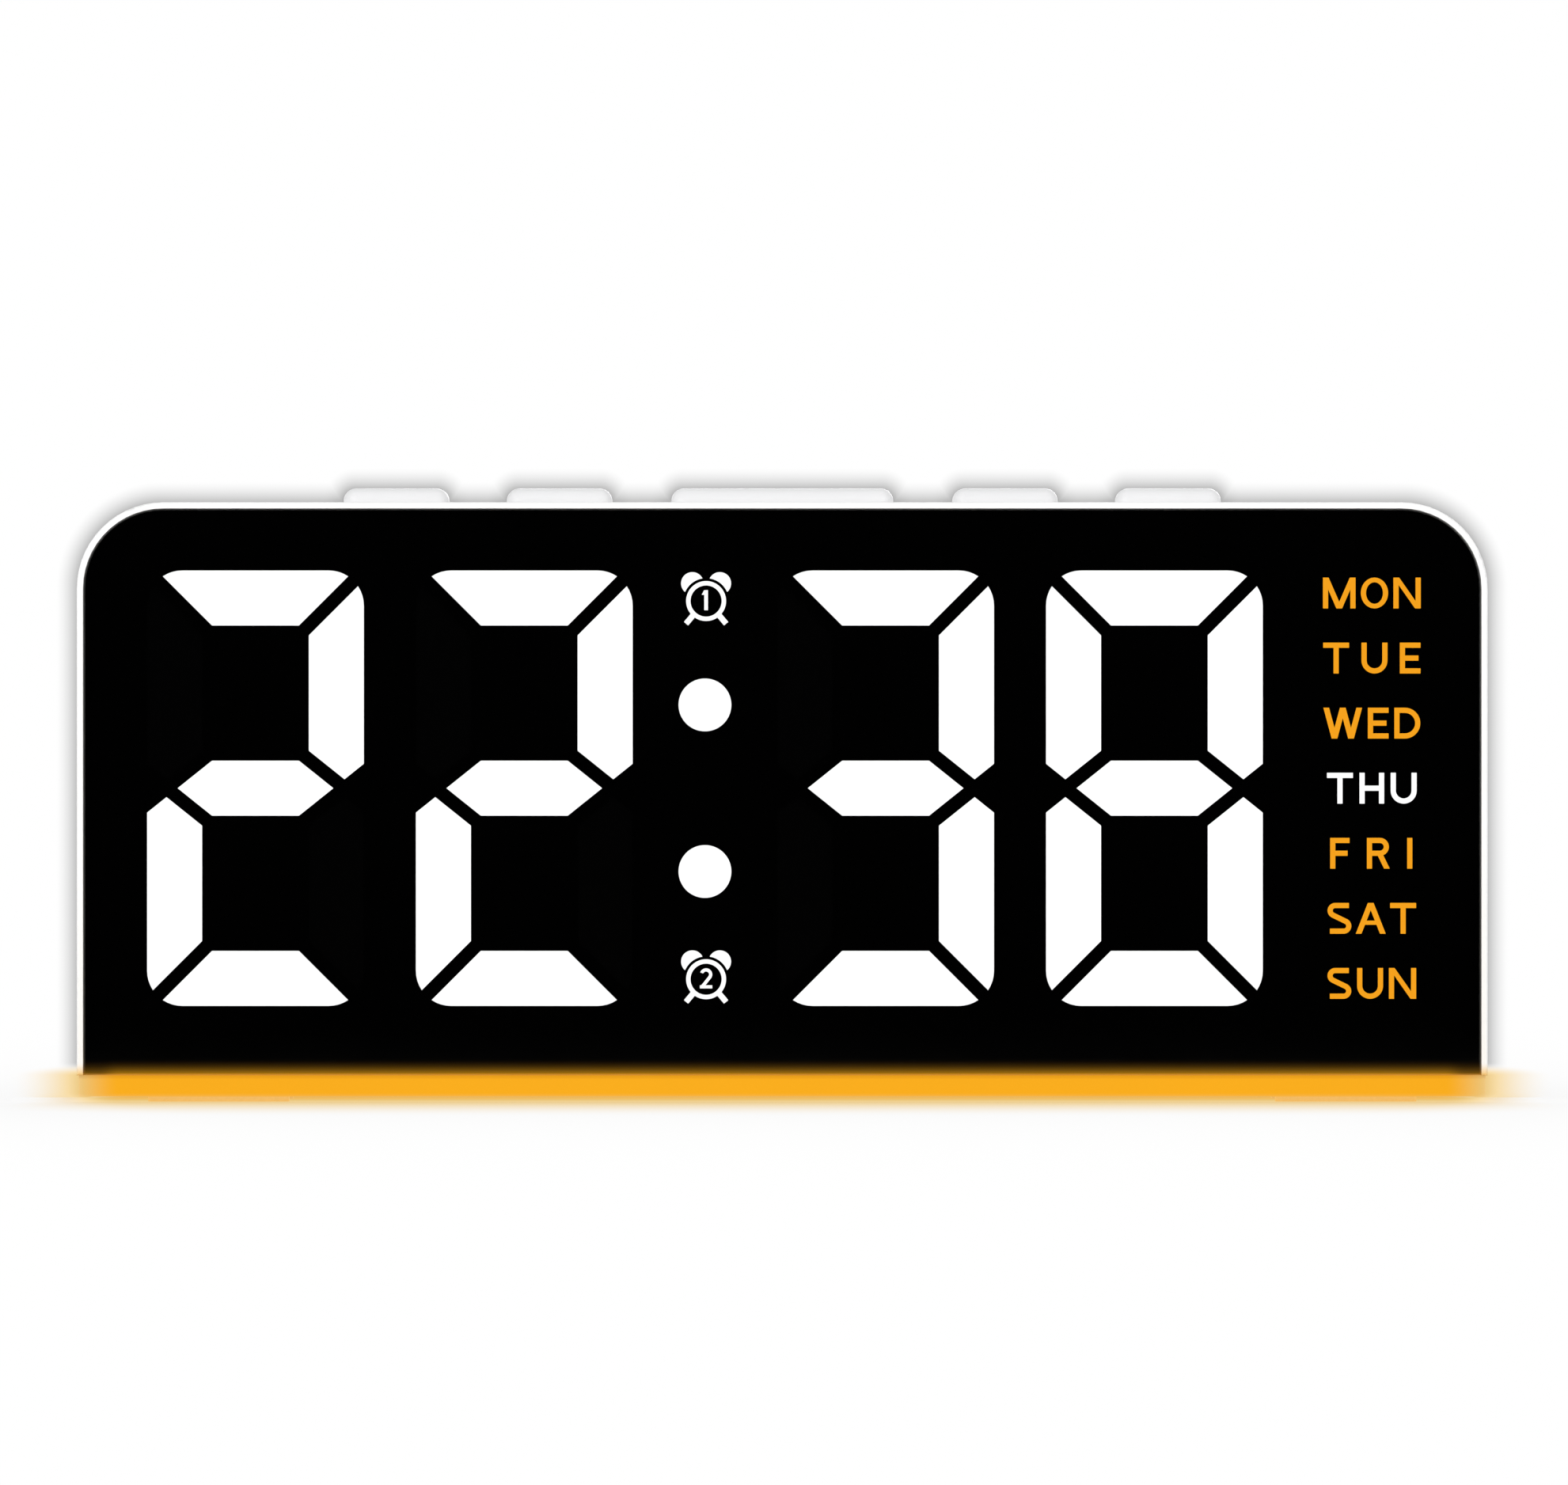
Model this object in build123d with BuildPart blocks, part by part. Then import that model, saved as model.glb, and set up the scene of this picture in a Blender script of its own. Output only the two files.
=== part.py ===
from build123d import *
import math
import os

# Digital alarm clock with four large lit figures, in millimetres.
# The origin is the middle of the footprint, on the surface that the clock stands on.
# +X is to the right of the display, the display faces -Y, and +Z is up.

os.makedirs("parts", exist_ok=True)

# Housing
clock_width = 160.0
clock_depth = 34.0
body_height = 65.0
corner_radius = 9.8
wall = 2.0
rim = 0.7
rim_round = 0.3
cover_thickness = 2.4
cover_round = 1.2
lip_depth = 1.8
lip_thickness = 1.4
lip_gap = 0.15

# Light base and feet
foot_height = 0.6
base_height = 2.4
base_inset = 0.2
base_corner = 1.0
foot_length = 16.0
foot_width = 5.0
foot_margin_x = 8.0
foot_margin_y = 3.0
channel_margin = 4.0
channel_width = 5.0
channel_depth = 1.7
channel_setback = 4.0
strip_gap = 0.2
strip_thickness = 0.8
strip_led_length = 3.0
strip_led_width = 2.6
strip_led_height = 0.6
strip_led_pitch = 11.5
strip_tab_margin = 4.6
strip_tab_width = 5.0
strip_tab_end = 0.5

# Lens, tape and print
lens_thickness = 1.8
lens_gap = 0.1
lens_chamfer = 0.15
print_gap = 0.02
print_thickness = 0.1
print_margin = 0.1
tape_thickness = 0.2

# Figures, seen from the front, with the segments that are lit at 22:38
digit_margin_left = 7.13
digit_margin_top = 6.93
digit_margin_bottom = 7.76
digit_gap = 5.9
colon_space = 16.4
segment_width = 6.25
segment_gap = 1.58
joint_inset = 2.2
joint_slope = 0.8
digit_corner = 4.0
digit_segments = ("abdeg", "abdeg", "abcdg", "abcdefg")
colon_half_pitch = 9.45
colon_radius = 3.0

# Alarm symbols above and below the colon
alarm_drop = 3.25
alarm_shift = 0.13
alarm_sink = 0.22
alarm_ring_outer = 2.27
alarm_ring_inner = 1.77
alarm_bell_radius = 1.28
alarm_bell_across = 1.56
alarm_bell_rise = 2.0
alarm_bell_gap = 0.33
alarm_foot_width = 0.63
alarm_foot_reach = 3.25
alarm_foot_lean = 50.0
alarm_figure_height = 2.28
alarm_figure_width = 1.4
alarm_figure_stroke = 0.36
alarm_figure_lift = 0.1
alarm_cell = 6.6

# Weekday column
day_gap = 6.07
day_margin_right = 6.0
day_row_inset = 0.81
day_letter_height = 3.5
day_stroke = 0.59
day_lit = "THU"
day_letter_gaps = {"MON": 0.6, "TUE": 1.4, "WED": 0.65, "THU": 0.74, "FRI": 1.97, "SAT": 0.5, "SUN": 0.66}
letter_widths = {
    "A": 3.4, "D": 2.95, "E": 2.35, "F": 2.2, "H": 2.8, "I": 0.72, "M": 3.7,
    "N": 3.1, "O": 3.1, "R": 2.6, "S": 2.7, "T": 2.95, "U": 2.95, "W": 4.4,
}
day_cell_width = 12.6
day_cell_height = 5.0

# Reflector, light fills and display board
module_gap = 0.25
reflector_depth = 8.0
fill_depth = 0.8
fill_margin = 0.2
fill_fit = 0.05
board_thickness = 1.6
board_inset = 0.6
board_top_drop = 1.4
led_length = 2.0
led_width = 1.25
led_height = 0.8

# Screws
screw_radius = 1.0
screw_head_radius = 1.9
screw_head_height = 1.2
screw_length = 6.0
screw_fit = 0.04
screw_clearance = 0.15
cross_length = 2.2
cross_width = 0.5
cross_depth = 0.6
counterbore_margin = 0.3
counterbore_depth = 1.4
display_screw_offset = 1.7
display_screw_length = 5.0

# Bosses and posts of the housing
boss_radius = 3.2
corner_boss_rise = 8.0
corner_boss_drop = 14.0
boss_gap = 0.1
base_boss_inner_x = 20.0
base_boss_y = 2.0
base_boss_radius = 2.8
base_boss_height = 5.0
base_screw_length = 6.0

# Buttons and switches on top
button_depth = 9.0
button_proud = 1.7
button_round = 1.4
button_corner = 1.5
button_gap = 0.15
button_travel = 0.5
button_columns = {
    "mode_button": (-44.0, 12.0),
    "down_button": (-25.4, 12.0),
    "snooze_button": (0.0, 25.3),
    "up_button": (25.4, 12.0),
    "alarm_button": (44.0, 12.0),
}
flange_margin = 1.0
flange_thickness = 0.8
flange_gap = 0.1
button_post = 3.0
switch_size = 6.0
switch_height = 3.4
plunger_radius = 1.75
plunger_proud = 1.2
plunger_sunk = 0.6
plunger_fit = 0.08
button_post_length = 3.1
key_board_width = 12.0
key_board_length = 116.0
key_board_gap = 0.3
key_post_x = (-54.5, -16.0, 16.0, 54.5)
key_post_radius = 2.0
key_header_x = 34.7
key_header_pins = 6
pin_pitch = 2.54
header_size = 2.5

# Battery bay, cells and door
cell_radius = 5.2
cell_length = 44.5
cell_nub_radius = 1.9
cell_nub_length = 0.9
cell_pitch = 10.8
cell_round = 0.5
cell_gap = 0.15
cell_count = 3
contact_space = 3.0
contact_thickness = 0.4
contact_size = 8.0
contact_tab_width = 2.0
contact_tab_share = 0.28
contact_slot_gap = 0.1
leaf_width = 4.0
leaf_gap = 0.05
bay_x = -22.0
bay_z = 30.4
bay_wall = 2.0
door_ledge = 1.0
door_gap = 0.25
door_seat_gap = 0.1
hinge_pin_radius = 0.75
hinge_pin_length = 1.5
hinge_fit = 0.06
tongue_width = 12.0
tongue_length = 8.0
tongue_slot = 0.8
grip_width = 8.0
grip_breadth = 0.8
grip_depth = 0.5
grip_pitch = 1.6
grip_count = 4
finger_notch_radius = 5.0
finger_notch_depth = 1.2

# Board parts, some placed from the side wall or from the middle of the figures
buzzer_margin = 18.0
buzzer_rise = 2.4
buzzer_radius = 6.0
buzzer_height = 8.5
sound_slot_length = 9.0
sound_slot_width = 1.2
sound_slot_pitch = 2.4
sound_slot_count = 5
driver_x = 30.0
driver_drop = 5.6
driver_length = 12.8
driver_width = 7.5
driver_height = 2.3
chip_x = 30.0
chip_rise = 11.4
chip_length = 8.6
chip_width = 5.0
chip_height = 1.6
crystal_x = 16.0
crystal_radius = 1.5
crystal_length = 8.0
capacitor_x = 48.0
capacitor_rise = 17.0
capacitor_pitch = 8.0
capacitor_radius = 2.5
capacitor_height = 7.0
resistor_x = 20.0
resistor_rise = 11.0
resistor_pitch = 4.0
resistor_count = 8
resistor_length = 2.0
resistor_width = 1.25
resistor_height = 0.6

# Power board and socket
power_x = 40.0
power_width = 18.0
power_length = 14.0
power_rise = 4.0
power_post_radius = 2.0
power_post_inset = 2.5
power_post_setback = 3.5
power_screw_length = 4.0
socket_width = 9.0
socket_height = 3.2
socket_length = 7.3
socket_wall = 0.3
socket_inset = 0.6
socket_gap = 0.3
tongue_plate_width = 6.7
tongue_plate_thickness = 0.7
tongue_plate_margin = 0.8

# Hook-up leads
lead_radius = 0.55
lead_pitch = 1.6
lead_bend = 2.4
lead_hole_margin = 0.5
strip_lead_reach = 3.3
strip_lead_rise = 10.0
power_lead_reach = 5.8
power_lead_rise = 5.6
battery_lead_run = 10.0
battery_lead_climb = 7.0
bend_share = 0.45

# Levels and depths that follow from the sizes above
front_y = -clock_depth / 2
rear_y = clock_depth / 2
base_bottom = foot_height
base_top = base_bottom + base_height
body_top = base_top + body_height
seam_y = rear_y - cover_thickness
lens_back_y = front_y + lens_thickness
print_y = lens_back_y + print_gap
print_back_y = print_y + print_thickness
ledge_y = print_back_y + tape_thickness
board_front_y = ledge_y + reflector_depth
board_back_y = board_front_y + board_thickness
inner_half = clock_width / 2 - wall
inner_bottom = base_top + wall
inner_top = body_top - wall
lens_inset = rim + lens_gap
lens_half = clock_width / 2 - lens_inset
lens_bottom = base_top + lens_gap
day_column = day_gap + day_cell_width + day_margin_right
digit_width = (2 * lens_half - digit_margin_left - 2 * digit_gap - colon_space - day_column) / 4
digit_height = body_top - lens_inset - lens_bottom - digit_margin_top - digit_margin_bottom
digit_z = lens_bottom + digit_margin_bottom + digit_height / 2
first_digit_x = digit_margin_left + digit_width / 2 - lens_half
second_digit_x = first_digit_x + digit_width + digit_gap
third_digit_x = second_digit_x + digit_width + colon_space
fourth_digit_x = third_digit_x + digit_width + digit_gap
digit_centres = (first_digit_x, second_digit_x, third_digit_x, fourth_digit_x)
colon_x = (second_digit_x + third_digit_x) / 2
alarm_half_pitch = digit_height / 2 - alarm_drop
day_x = lens_half - day_margin_right - day_cell_width / 2
day_rows_half = (len(day_letter_gaps) - 1) / 2
day_pitch = (digit_height / 2 - day_row_inset - day_letter_height / 2) / day_rows_half
corner_boss_x = inner_half - boss_radius
corner_boss_levels = (base_top + corner_boss_rise, body_top - corner_boss_drop)
strip_tab_x = corner_boss_x - boss_radius - strip_tab_margin
base_boss_outer_x = (power_x + power_width / 2 + strip_tab_x) / 2
base_boss_x = (-base_boss_outer_x, -base_boss_inner_x, base_boss_inner_x, base_boss_outer_x)
display_screw_x = ((first_digit_x + second_digit_x) / 2, (third_digit_x + fourth_digit_x) / 2)
display_screw_reach = digit_height / 2 + display_screw_offset
display_screw_z = (digit_z - display_screw_reach, digit_z + display_screw_reach)
button_y = board_back_y + key_board_gap + key_board_width / 2
flange_top_z = inner_top - flange_gap
flange_bottom_z = flange_top_z - flange_thickness
plunger_top_z = flange_bottom_z - button_post_length
switch_top_z = plunger_top_z - plunger_proud
key_board_top_z = switch_top_z - switch_height
key_board_bottom_z = key_board_top_z - board_thickness
bay_length = cell_length + 2 * contact_space
bay_height = (cell_count - 1) * cell_pitch + 2 * (cell_radius + cell_gap)
door_inner_y = seam_y + door_seat_gap
door_half = (rear_y - door_inner_y) / 2
hinge_y = rear_y - door_half
bay_floor_y = door_inner_y - 2 * (cell_radius + cell_gap)
bay_back_y = bay_floor_y - bay_wall
door_width = bay_length + 2 * (door_ledge - door_gap)
door_bottom_z = bay_z - bay_height / 2 - door_ledge + door_gap
door_top_z = bay_z + bay_height / 2 + door_ledge - door_gap
hinge_z = door_bottom_z + door_half
cell_levels = [bay_z + (row - (cell_count - 1) / 2) * cell_pitch for row in range(cell_count)]
tab_end_y = bay_back_y - contact_tab_share * (bay_back_y - board_back_y)
buzzer_x = inner_half - buzzer_margin
buzzer_z = digit_z + buzzer_rise
driver_z = digit_z - driver_drop
chip_z = digit_z + chip_rise
capacitor_z = inner_bottom + capacitor_rise
resistor_z = inner_bottom + resistor_rise
strip_lead_y = board_back_y + strip_lead_reach
power_lead_y = board_back_y + power_lead_reach
channel_y = front_y + channel_setback + channel_width / 2
strip_tab_reach = strip_lead_y + strip_tab_end - channel_y
strip_bottom_z = base_top - strip_gap - strip_thickness
power_bottom_z = inner_bottom + power_rise
power_top_z = power_bottom_z + board_thickness
power_rear_y = seam_y - lip_depth - socket_gap
power_post_y = power_rear_y - power_length + power_post_setback
socket_rear_y = rear_y - socket_inset


def upright(y):
    """Plane across the clock at depth y, drawn as it is seen from the front."""
    return Plane.XZ.offset(-y)


def facing_back(x, y, z):
    """Plane at a point of the clock that looks out of its rear."""
    return Plane(origin=(x, y, z), x_dir=(1, 0, 0), z_dir=(0, 1, 0))


def facing_down(x, y, z):
    """Plane at a point of the clock that looks at the surface it stands on."""
    return Plane(origin=(x, y, z), x_dir=(1, 0, 0), z_dir=(0, 0, -1))


def finish(piece, name):
    """Label a finished piece and write it."""
    piece.part.label = name
    export_step(piece.part, f"parts/{name}.step")


def housing_outline(inset, bottom, mode=Mode.ADD):
    """Rectangle with two round top corners, inside the housing's outline by inset, down to bottom."""
    half = clock_width / 2 - inset
    top = body_top - inset
    radius = corner_radius - inset
    with BuildLine() as outline:
        Polyline((-half, top - radius), (-half, bottom), (half, bottom), (half, top - radius))
        CenterArc((half - radius, top - radius), radius, 0, 90)
        Line((half - radius, top), (radius - half, top))
        CenterArc((radius - half, top - radius), radius, 90, 90)
    make_face(outline.edges(), mode=mode)


def add_screws(seats, length):
    """Pan-head screws with a cross recess, heads standing on the seats and shanks going through them."""
    for seat in seats:
        with BuildSketch(seat) as head:
            Circle(screw_head_radius)
        with BuildSketch(seat) as shank:
            Circle(screw_radius)
        with BuildSketch(seat.offset(screw_head_height)) as cross:
            Rectangle(cross_length, cross_width)
            Rectangle(cross_width, cross_length)
        extrude(head.sketch, amount=screw_head_height)
        extrude(shank.sketch, amount=-length)
        extrude(cross.sketch, amount=-cross_depth, mode=Mode.SUBTRACT)


def cut_bores(seats, radius, depth):
    """Round holes that go into the current piece from the seats, against the way they look."""
    for seat in seats:
        with BuildSketch(seat) as bore:
            Circle(radius)
        extrude(bore.sketch, amount=-depth, mode=Mode.SUBTRACT)


def add_leads(routes, radii):
    """Round wires along routes of straight runs and tangent arcs."""
    for route in routes:
        with BuildLine() as path:
            FilletPolyline(*route, radius=radii)
        with BuildSketch(Plane(origin=path.line @ 0, z_dir=path.line % 0)) as section:
            Circle(lead_radius)
        sweep(section.sketch, path=path.line)


def segment_corners():
    """Corner points of the seven segments about the middle of a figure, under their usual letters."""
    half_w = digit_width / 2
    half_h = digit_height / 2
    mitre = segment_gap / math.sqrt(2)
    lean = math.atan(joint_slope)
    joint_x = half_w - joint_inset
    bar_tip = joint_x - segment_gap / 2 / math.sin(lean)
    bar_corner = bar_tip - segment_width / 2 / joint_slope
    side_tip = segment_gap / 2 / math.cos(lean)
    side_outer = side_tip + joint_inset * joint_slope
    side_inner = side_tip + (segment_width - joint_inset) * joint_slope
    inner_x = half_w - segment_width
    inner_z = half_h - segment_width
    top = [
        (mitre - half_w, half_h), (half_w - mitre, half_h),
        (inner_x - mitre, inner_z), (mitre - inner_x, inner_z),
    ]
    side = [
        (half_w, half_h - mitre), (half_w, side_outer), (joint_x, side_tip),
        (inner_x, side_inner), (inner_x, inner_z - mitre),
    ]
    middle = [
        (bar_tip, 0), (bar_corner, segment_width / 2), (-bar_corner, segment_width / 2),
        (-bar_tip, 0), (-bar_corner, -segment_width / 2), (bar_corner, -segment_width / 2),
    ]
    return {
        "a": top,
        "b": side,
        "c": [(x, -z) for x, z in side],
        "d": [(x, -z) for x, z in top],
        "e": [(-x, -z) for x, z in side],
        "f": [(-x, z) for x, z in side],
        "g": middle,
    }


corners_of = segment_corners()


def figure_face(letters):
    """The named segments of one figure, with the figure's outer corners rounded."""
    with BuildSketch() as figure:
        for letter in letters:
            with BuildLine():
                Polyline(*corners_of[letter], close=True)
            make_face()
        RectangleRounded(digit_width, digit_height, digit_corner, mode=Mode.INTERSECT)
    return figure.sketch


def bar(left, right, low, high):
    """Upright rectangle between two edges and two levels."""
    with Locations((left, low)):
        Rectangle(right - left, high - low, align=(Align.MIN, Align.MIN))


def slant(low_x, high_x, low, high, breadth):
    """Leaning stroke with level ends, breadth measured along the level."""
    with BuildLine() as outline:
        Polyline((low_x, low), (low_x + breadth, low), (high_x + breadth, high), (high_x, high), close=True)
    make_face(outline.edges())


def bowl(left, right, low, high, stroke, mode=Mode.ADD):
    """Oblong ring with fully round ends, between two edges and two levels."""
    width = right - left
    height = high - low
    with Locations(((left + right) / 2, (low + high) / 2)):
        RectangleRounded(width, height, 0.499 * min(width, height), mode=mode)
        RectangleRounded(
            width - 2 * stroke, height - 2 * stroke,
            0.499 * min(width, height) - stroke, mode=Mode.SUBTRACT,
        )


def cut_box(left, right, low, high):
    """Take an upright rectangle away from the current drawing."""
    with Locations((left, low)):
        Rectangle(right - left, high - low, align=(Align.MIN, Align.MIN), mode=Mode.SUBTRACT)


def letter_face(letter, stroke, height):
    """One plain capital, drawn from its lower left corner."""
    width = letter_widths[letter]
    middle = (height - stroke) / 2
    lean = 1.1 * stroke
    with BuildSketch() as face:
        if letter in "EF":
            bar(0, stroke, 0, height)
            bar(0, width, height - stroke, height)
            bar(0, 0.9 * width, middle, middle + stroke)
            if letter == "E":
                bar(0, width, 0, stroke)
        elif letter in "HI":
            bar(0, stroke, 0, height)
            if letter == "H":
                bar(width - stroke, width, 0, height)
                bar(0, width, middle, middle + stroke)
        elif letter == "T":
            bar(0, width, height - stroke, height)
            bar((width - stroke) / 2, (width + stroke) / 2, 0, height)
        elif letter == "N":
            bar(0, stroke, 0, height)
            bar(width - stroke, width, 0, height)
            slant(width - lean, 0, 0, height, lean)
        elif letter == "M":
            bar(0, stroke, 0, height)
            bar(width - stroke, width, 0, height)
            slant((width - lean) / 2, 0, 0, height, lean)
            slant((width - lean) / 2, width - lean, 0, height, lean)
        elif letter == "W":
            foot = width / 4 - lean / 4
            peak = (width - lean) / 2
            slant(foot, 0, 0, height, lean)
            slant(foot, peak, 0, height, lean)
            slant(width - foot - lean, peak, 0, height, lean)
            slant(width - foot - lean, width - lean, 0, height, lean)
        elif letter == "A":
            slant(0, (width - lean) / 2, 0, height, lean)
            slant(width - lean, (width - lean) / 2, 0, height, lean)
            bar(0.25 * width, 0.75 * width, 0.29 * height, 0.29 * height + 0.8 * stroke)
        elif letter == "U":
            bowl(0, width, 0, height, stroke)
            cut_box(0, width, height / 2, height)
            bar(0, stroke, height / 2, height)
            bar(width - stroke, width, height / 2, height)
        elif letter == "O":
            with Locations((width / 2, height / 2)):
                Ellipse(width / 2, height / 2)
                Ellipse(width / 2 - stroke, height / 2 - 0.9 * stroke, mode=Mode.SUBTRACT)
        elif letter == "D":
            bowl(-width, width, 0, height, stroke)
            cut_box(-width, 0, 0, height)
            bar(0, stroke, 0, height)
        elif letter == "R":
            bowl(-width, 0.96 * width, middle, height, stroke)
            cut_box(-width, 0, 0, height)
            bar(0, stroke, 0, height)
            slant(width - lean, 0.42 * width, 0, middle + stroke / 2, lean)
    return face.sketch


def letter_s_face(stroke, height):
    """A plain capital S: level arms, two round bends and the straight spine that touches both."""
    width = letter_widths["S"]
    bend = height / 4 - stroke / 2
    bend_x = height / 4
    arm_end = 0.9 * width
    span_x = width - 2 * bend_x
    span_z = height / 2
    sweep_angle = 180 - math.degrees(
        math.atan2(span_z, span_x) - math.asin(2 * bend / math.hypot(span_x, span_z))
    )
    with BuildLine() as spine:
        top_arm = Line((arm_end, height - stroke / 2), (bend_x, height - stroke / 2))
        top_bend = JernArc(top_arm @ 1, (-1, 0), bend, sweep_angle)
        low_arm = Line((width - arm_end, stroke / 2), (width - bend_x, stroke / 2))
        low_bend = JernArc(low_arm @ 1, (1, 0), bend, sweep_angle)
        Line(top_bend @ 1, low_bend @ 1)
    with BuildSketch() as face:
        trace(spine.line, stroke)
    return face.sketch


letter_faces = {
    letter: letter_face(letter, day_stroke, day_letter_height) for letter in letter_widths if letter != "S"
}
letter_faces["S"] = letter_s_face(day_stroke, day_letter_height)


def figure_one(left, low):
    """Small upright figure 1 with a short flag."""
    middle = left + alarm_figure_width / 2
    stroke = alarm_figure_stroke
    bar(middle - 0.6 * stroke, middle + 0.6 * stroke, low, low + alarm_figure_height)
    flag = 0.8 * stroke
    slant(middle - 0.6 * stroke - flag, middle - 0.6 * stroke, low + alarm_figure_height - 1.5 * stroke,
          low + alarm_figure_height, stroke)


def figure_two(left, low):
    """Small upright figure 2: a round head, a leaning neck and a level foot."""
    stroke = alarm_figure_stroke
    right = left + alarm_figure_width
    bend = (alarm_figure_width - stroke) / 2
    head_z = low + alarm_figure_height - stroke / 2 - bend
    with BuildLine() as path:
        head = CenterArc((left + stroke / 2 + bend, head_z), bend, 160, -200)
        Line(head @ 1, (left + 0.7 * stroke, low + stroke / 2))
    trace(path.line, stroke)
    bar(left, right, low, low + stroke)


def alarm_face(draw_figure):
    """Round clock on two feet with a bell on each shoulder and a figure inside."""
    reach = alarm_ring_outer / math.sqrt(2)
    foot_end = alarm_foot_reach / math.sqrt(2)
    with BuildSketch() as bells:
        for side in (-1, 1):
            with Locations((side * alarm_bell_across, alarm_bell_rise)):
                Circle(alarm_bell_radius)
        Circle(alarm_ring_outer + alarm_bell_gap, mode=Mode.SUBTRACT)
    with BuildSketch() as symbol:
        for side in (-1, 1):
            with Locations((side * (reach + foot_end) / 2 * 0.9, -(reach + foot_end) / 2)):
                Rectangle(
                    alarm_foot_reach - alarm_ring_outer + alarm_foot_width, alarm_foot_width,
                    rotation=-side * alarm_foot_lean,
                )
        Circle(alarm_ring_outer)
        Circle(alarm_ring_inner, mode=Mode.SUBTRACT)
        add(bells.sketch)
        draw_figure(-alarm_figure_width / 2, alarm_figure_lift - alarm_figure_height / 2)
    return symbol.sketch


# Openings of the printed mask, one drawing for each colour of light
lit_faces = [figure_face(letters) for letters in digit_segments]
dark_letters = [sorted(set(corners_of) - set(letters)) for letters in digit_segments]
dark_faces = [figure_face(letters) if letters else None for letters in dark_letters]
alarm_faces = [alarm_face(figure_one), alarm_face(figure_two)]

with BuildSketch() as lit_windows:
    for x, face in zip(digit_centres, lit_faces):
        with Locations((x, digit_z)):
            add(face)

with BuildSketch() as dark_windows:
    for x, face in zip(digit_centres, dark_faces):
        if face:
            with Locations((x, digit_z)):
                add(face)

with BuildSketch() as colon_windows:
    with Locations((colon_x, digit_z - colon_half_pitch), (colon_x, digit_z + colon_half_pitch)):
        Circle(colon_radius)

with BuildSketch() as alarm_windows:
    for symbol, z in zip(alarm_faces, (digit_z + alarm_half_pitch, digit_z - alarm_half_pitch)):
        with Locations((colon_x + alarm_shift, z - alarm_sink)):
            add(symbol)

day_levels = {day: digit_z + (day_rows_half - row) * day_pitch for row, day in enumerate(day_letter_gaps)}


def add_word(word, gap, x, z):
    """Capitals of one weekday, centred on a point."""
    left = x - (sum(letter_widths[letter] for letter in word) + gap * (len(word) - 1)) / 2
    for letter in word:
        with Locations((left, z - day_letter_height / 2)):
            add(letter_faces[letter])
        left += letter_widths[letter] + gap


with BuildSketch() as day_windows:
    for day, gap in day_letter_gaps.items():
        add_word(day, gap, day_x, day_levels[day])

with BuildSketch() as amber_day_cells:
    for day, z in day_levels.items():
        if day != day_lit:
            with Locations((day_x, z)):
                Rectangle(day_cell_width, day_cell_height)

with BuildSketch() as white_day_cell:
    with Locations((day_x, day_levels[day_lit])):
        Rectangle(day_cell_width, day_cell_height)

with BuildSketch() as alarm_cells:
    with Locations((colon_x, digit_z - alarm_half_pitch), (colon_x, digit_z + alarm_half_pitch)):
        Rectangle(alarm_cell, alarm_cell)


def grown(drawing, margin):
    """The drawing with its edges moved outwards by a margin."""
    with BuildSketch() as wider:
        add(drawing)
        offset(amount=margin, kind=Kind.INTERSECTION, mode=Mode.REPLACE)
    return wider.sketch


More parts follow.
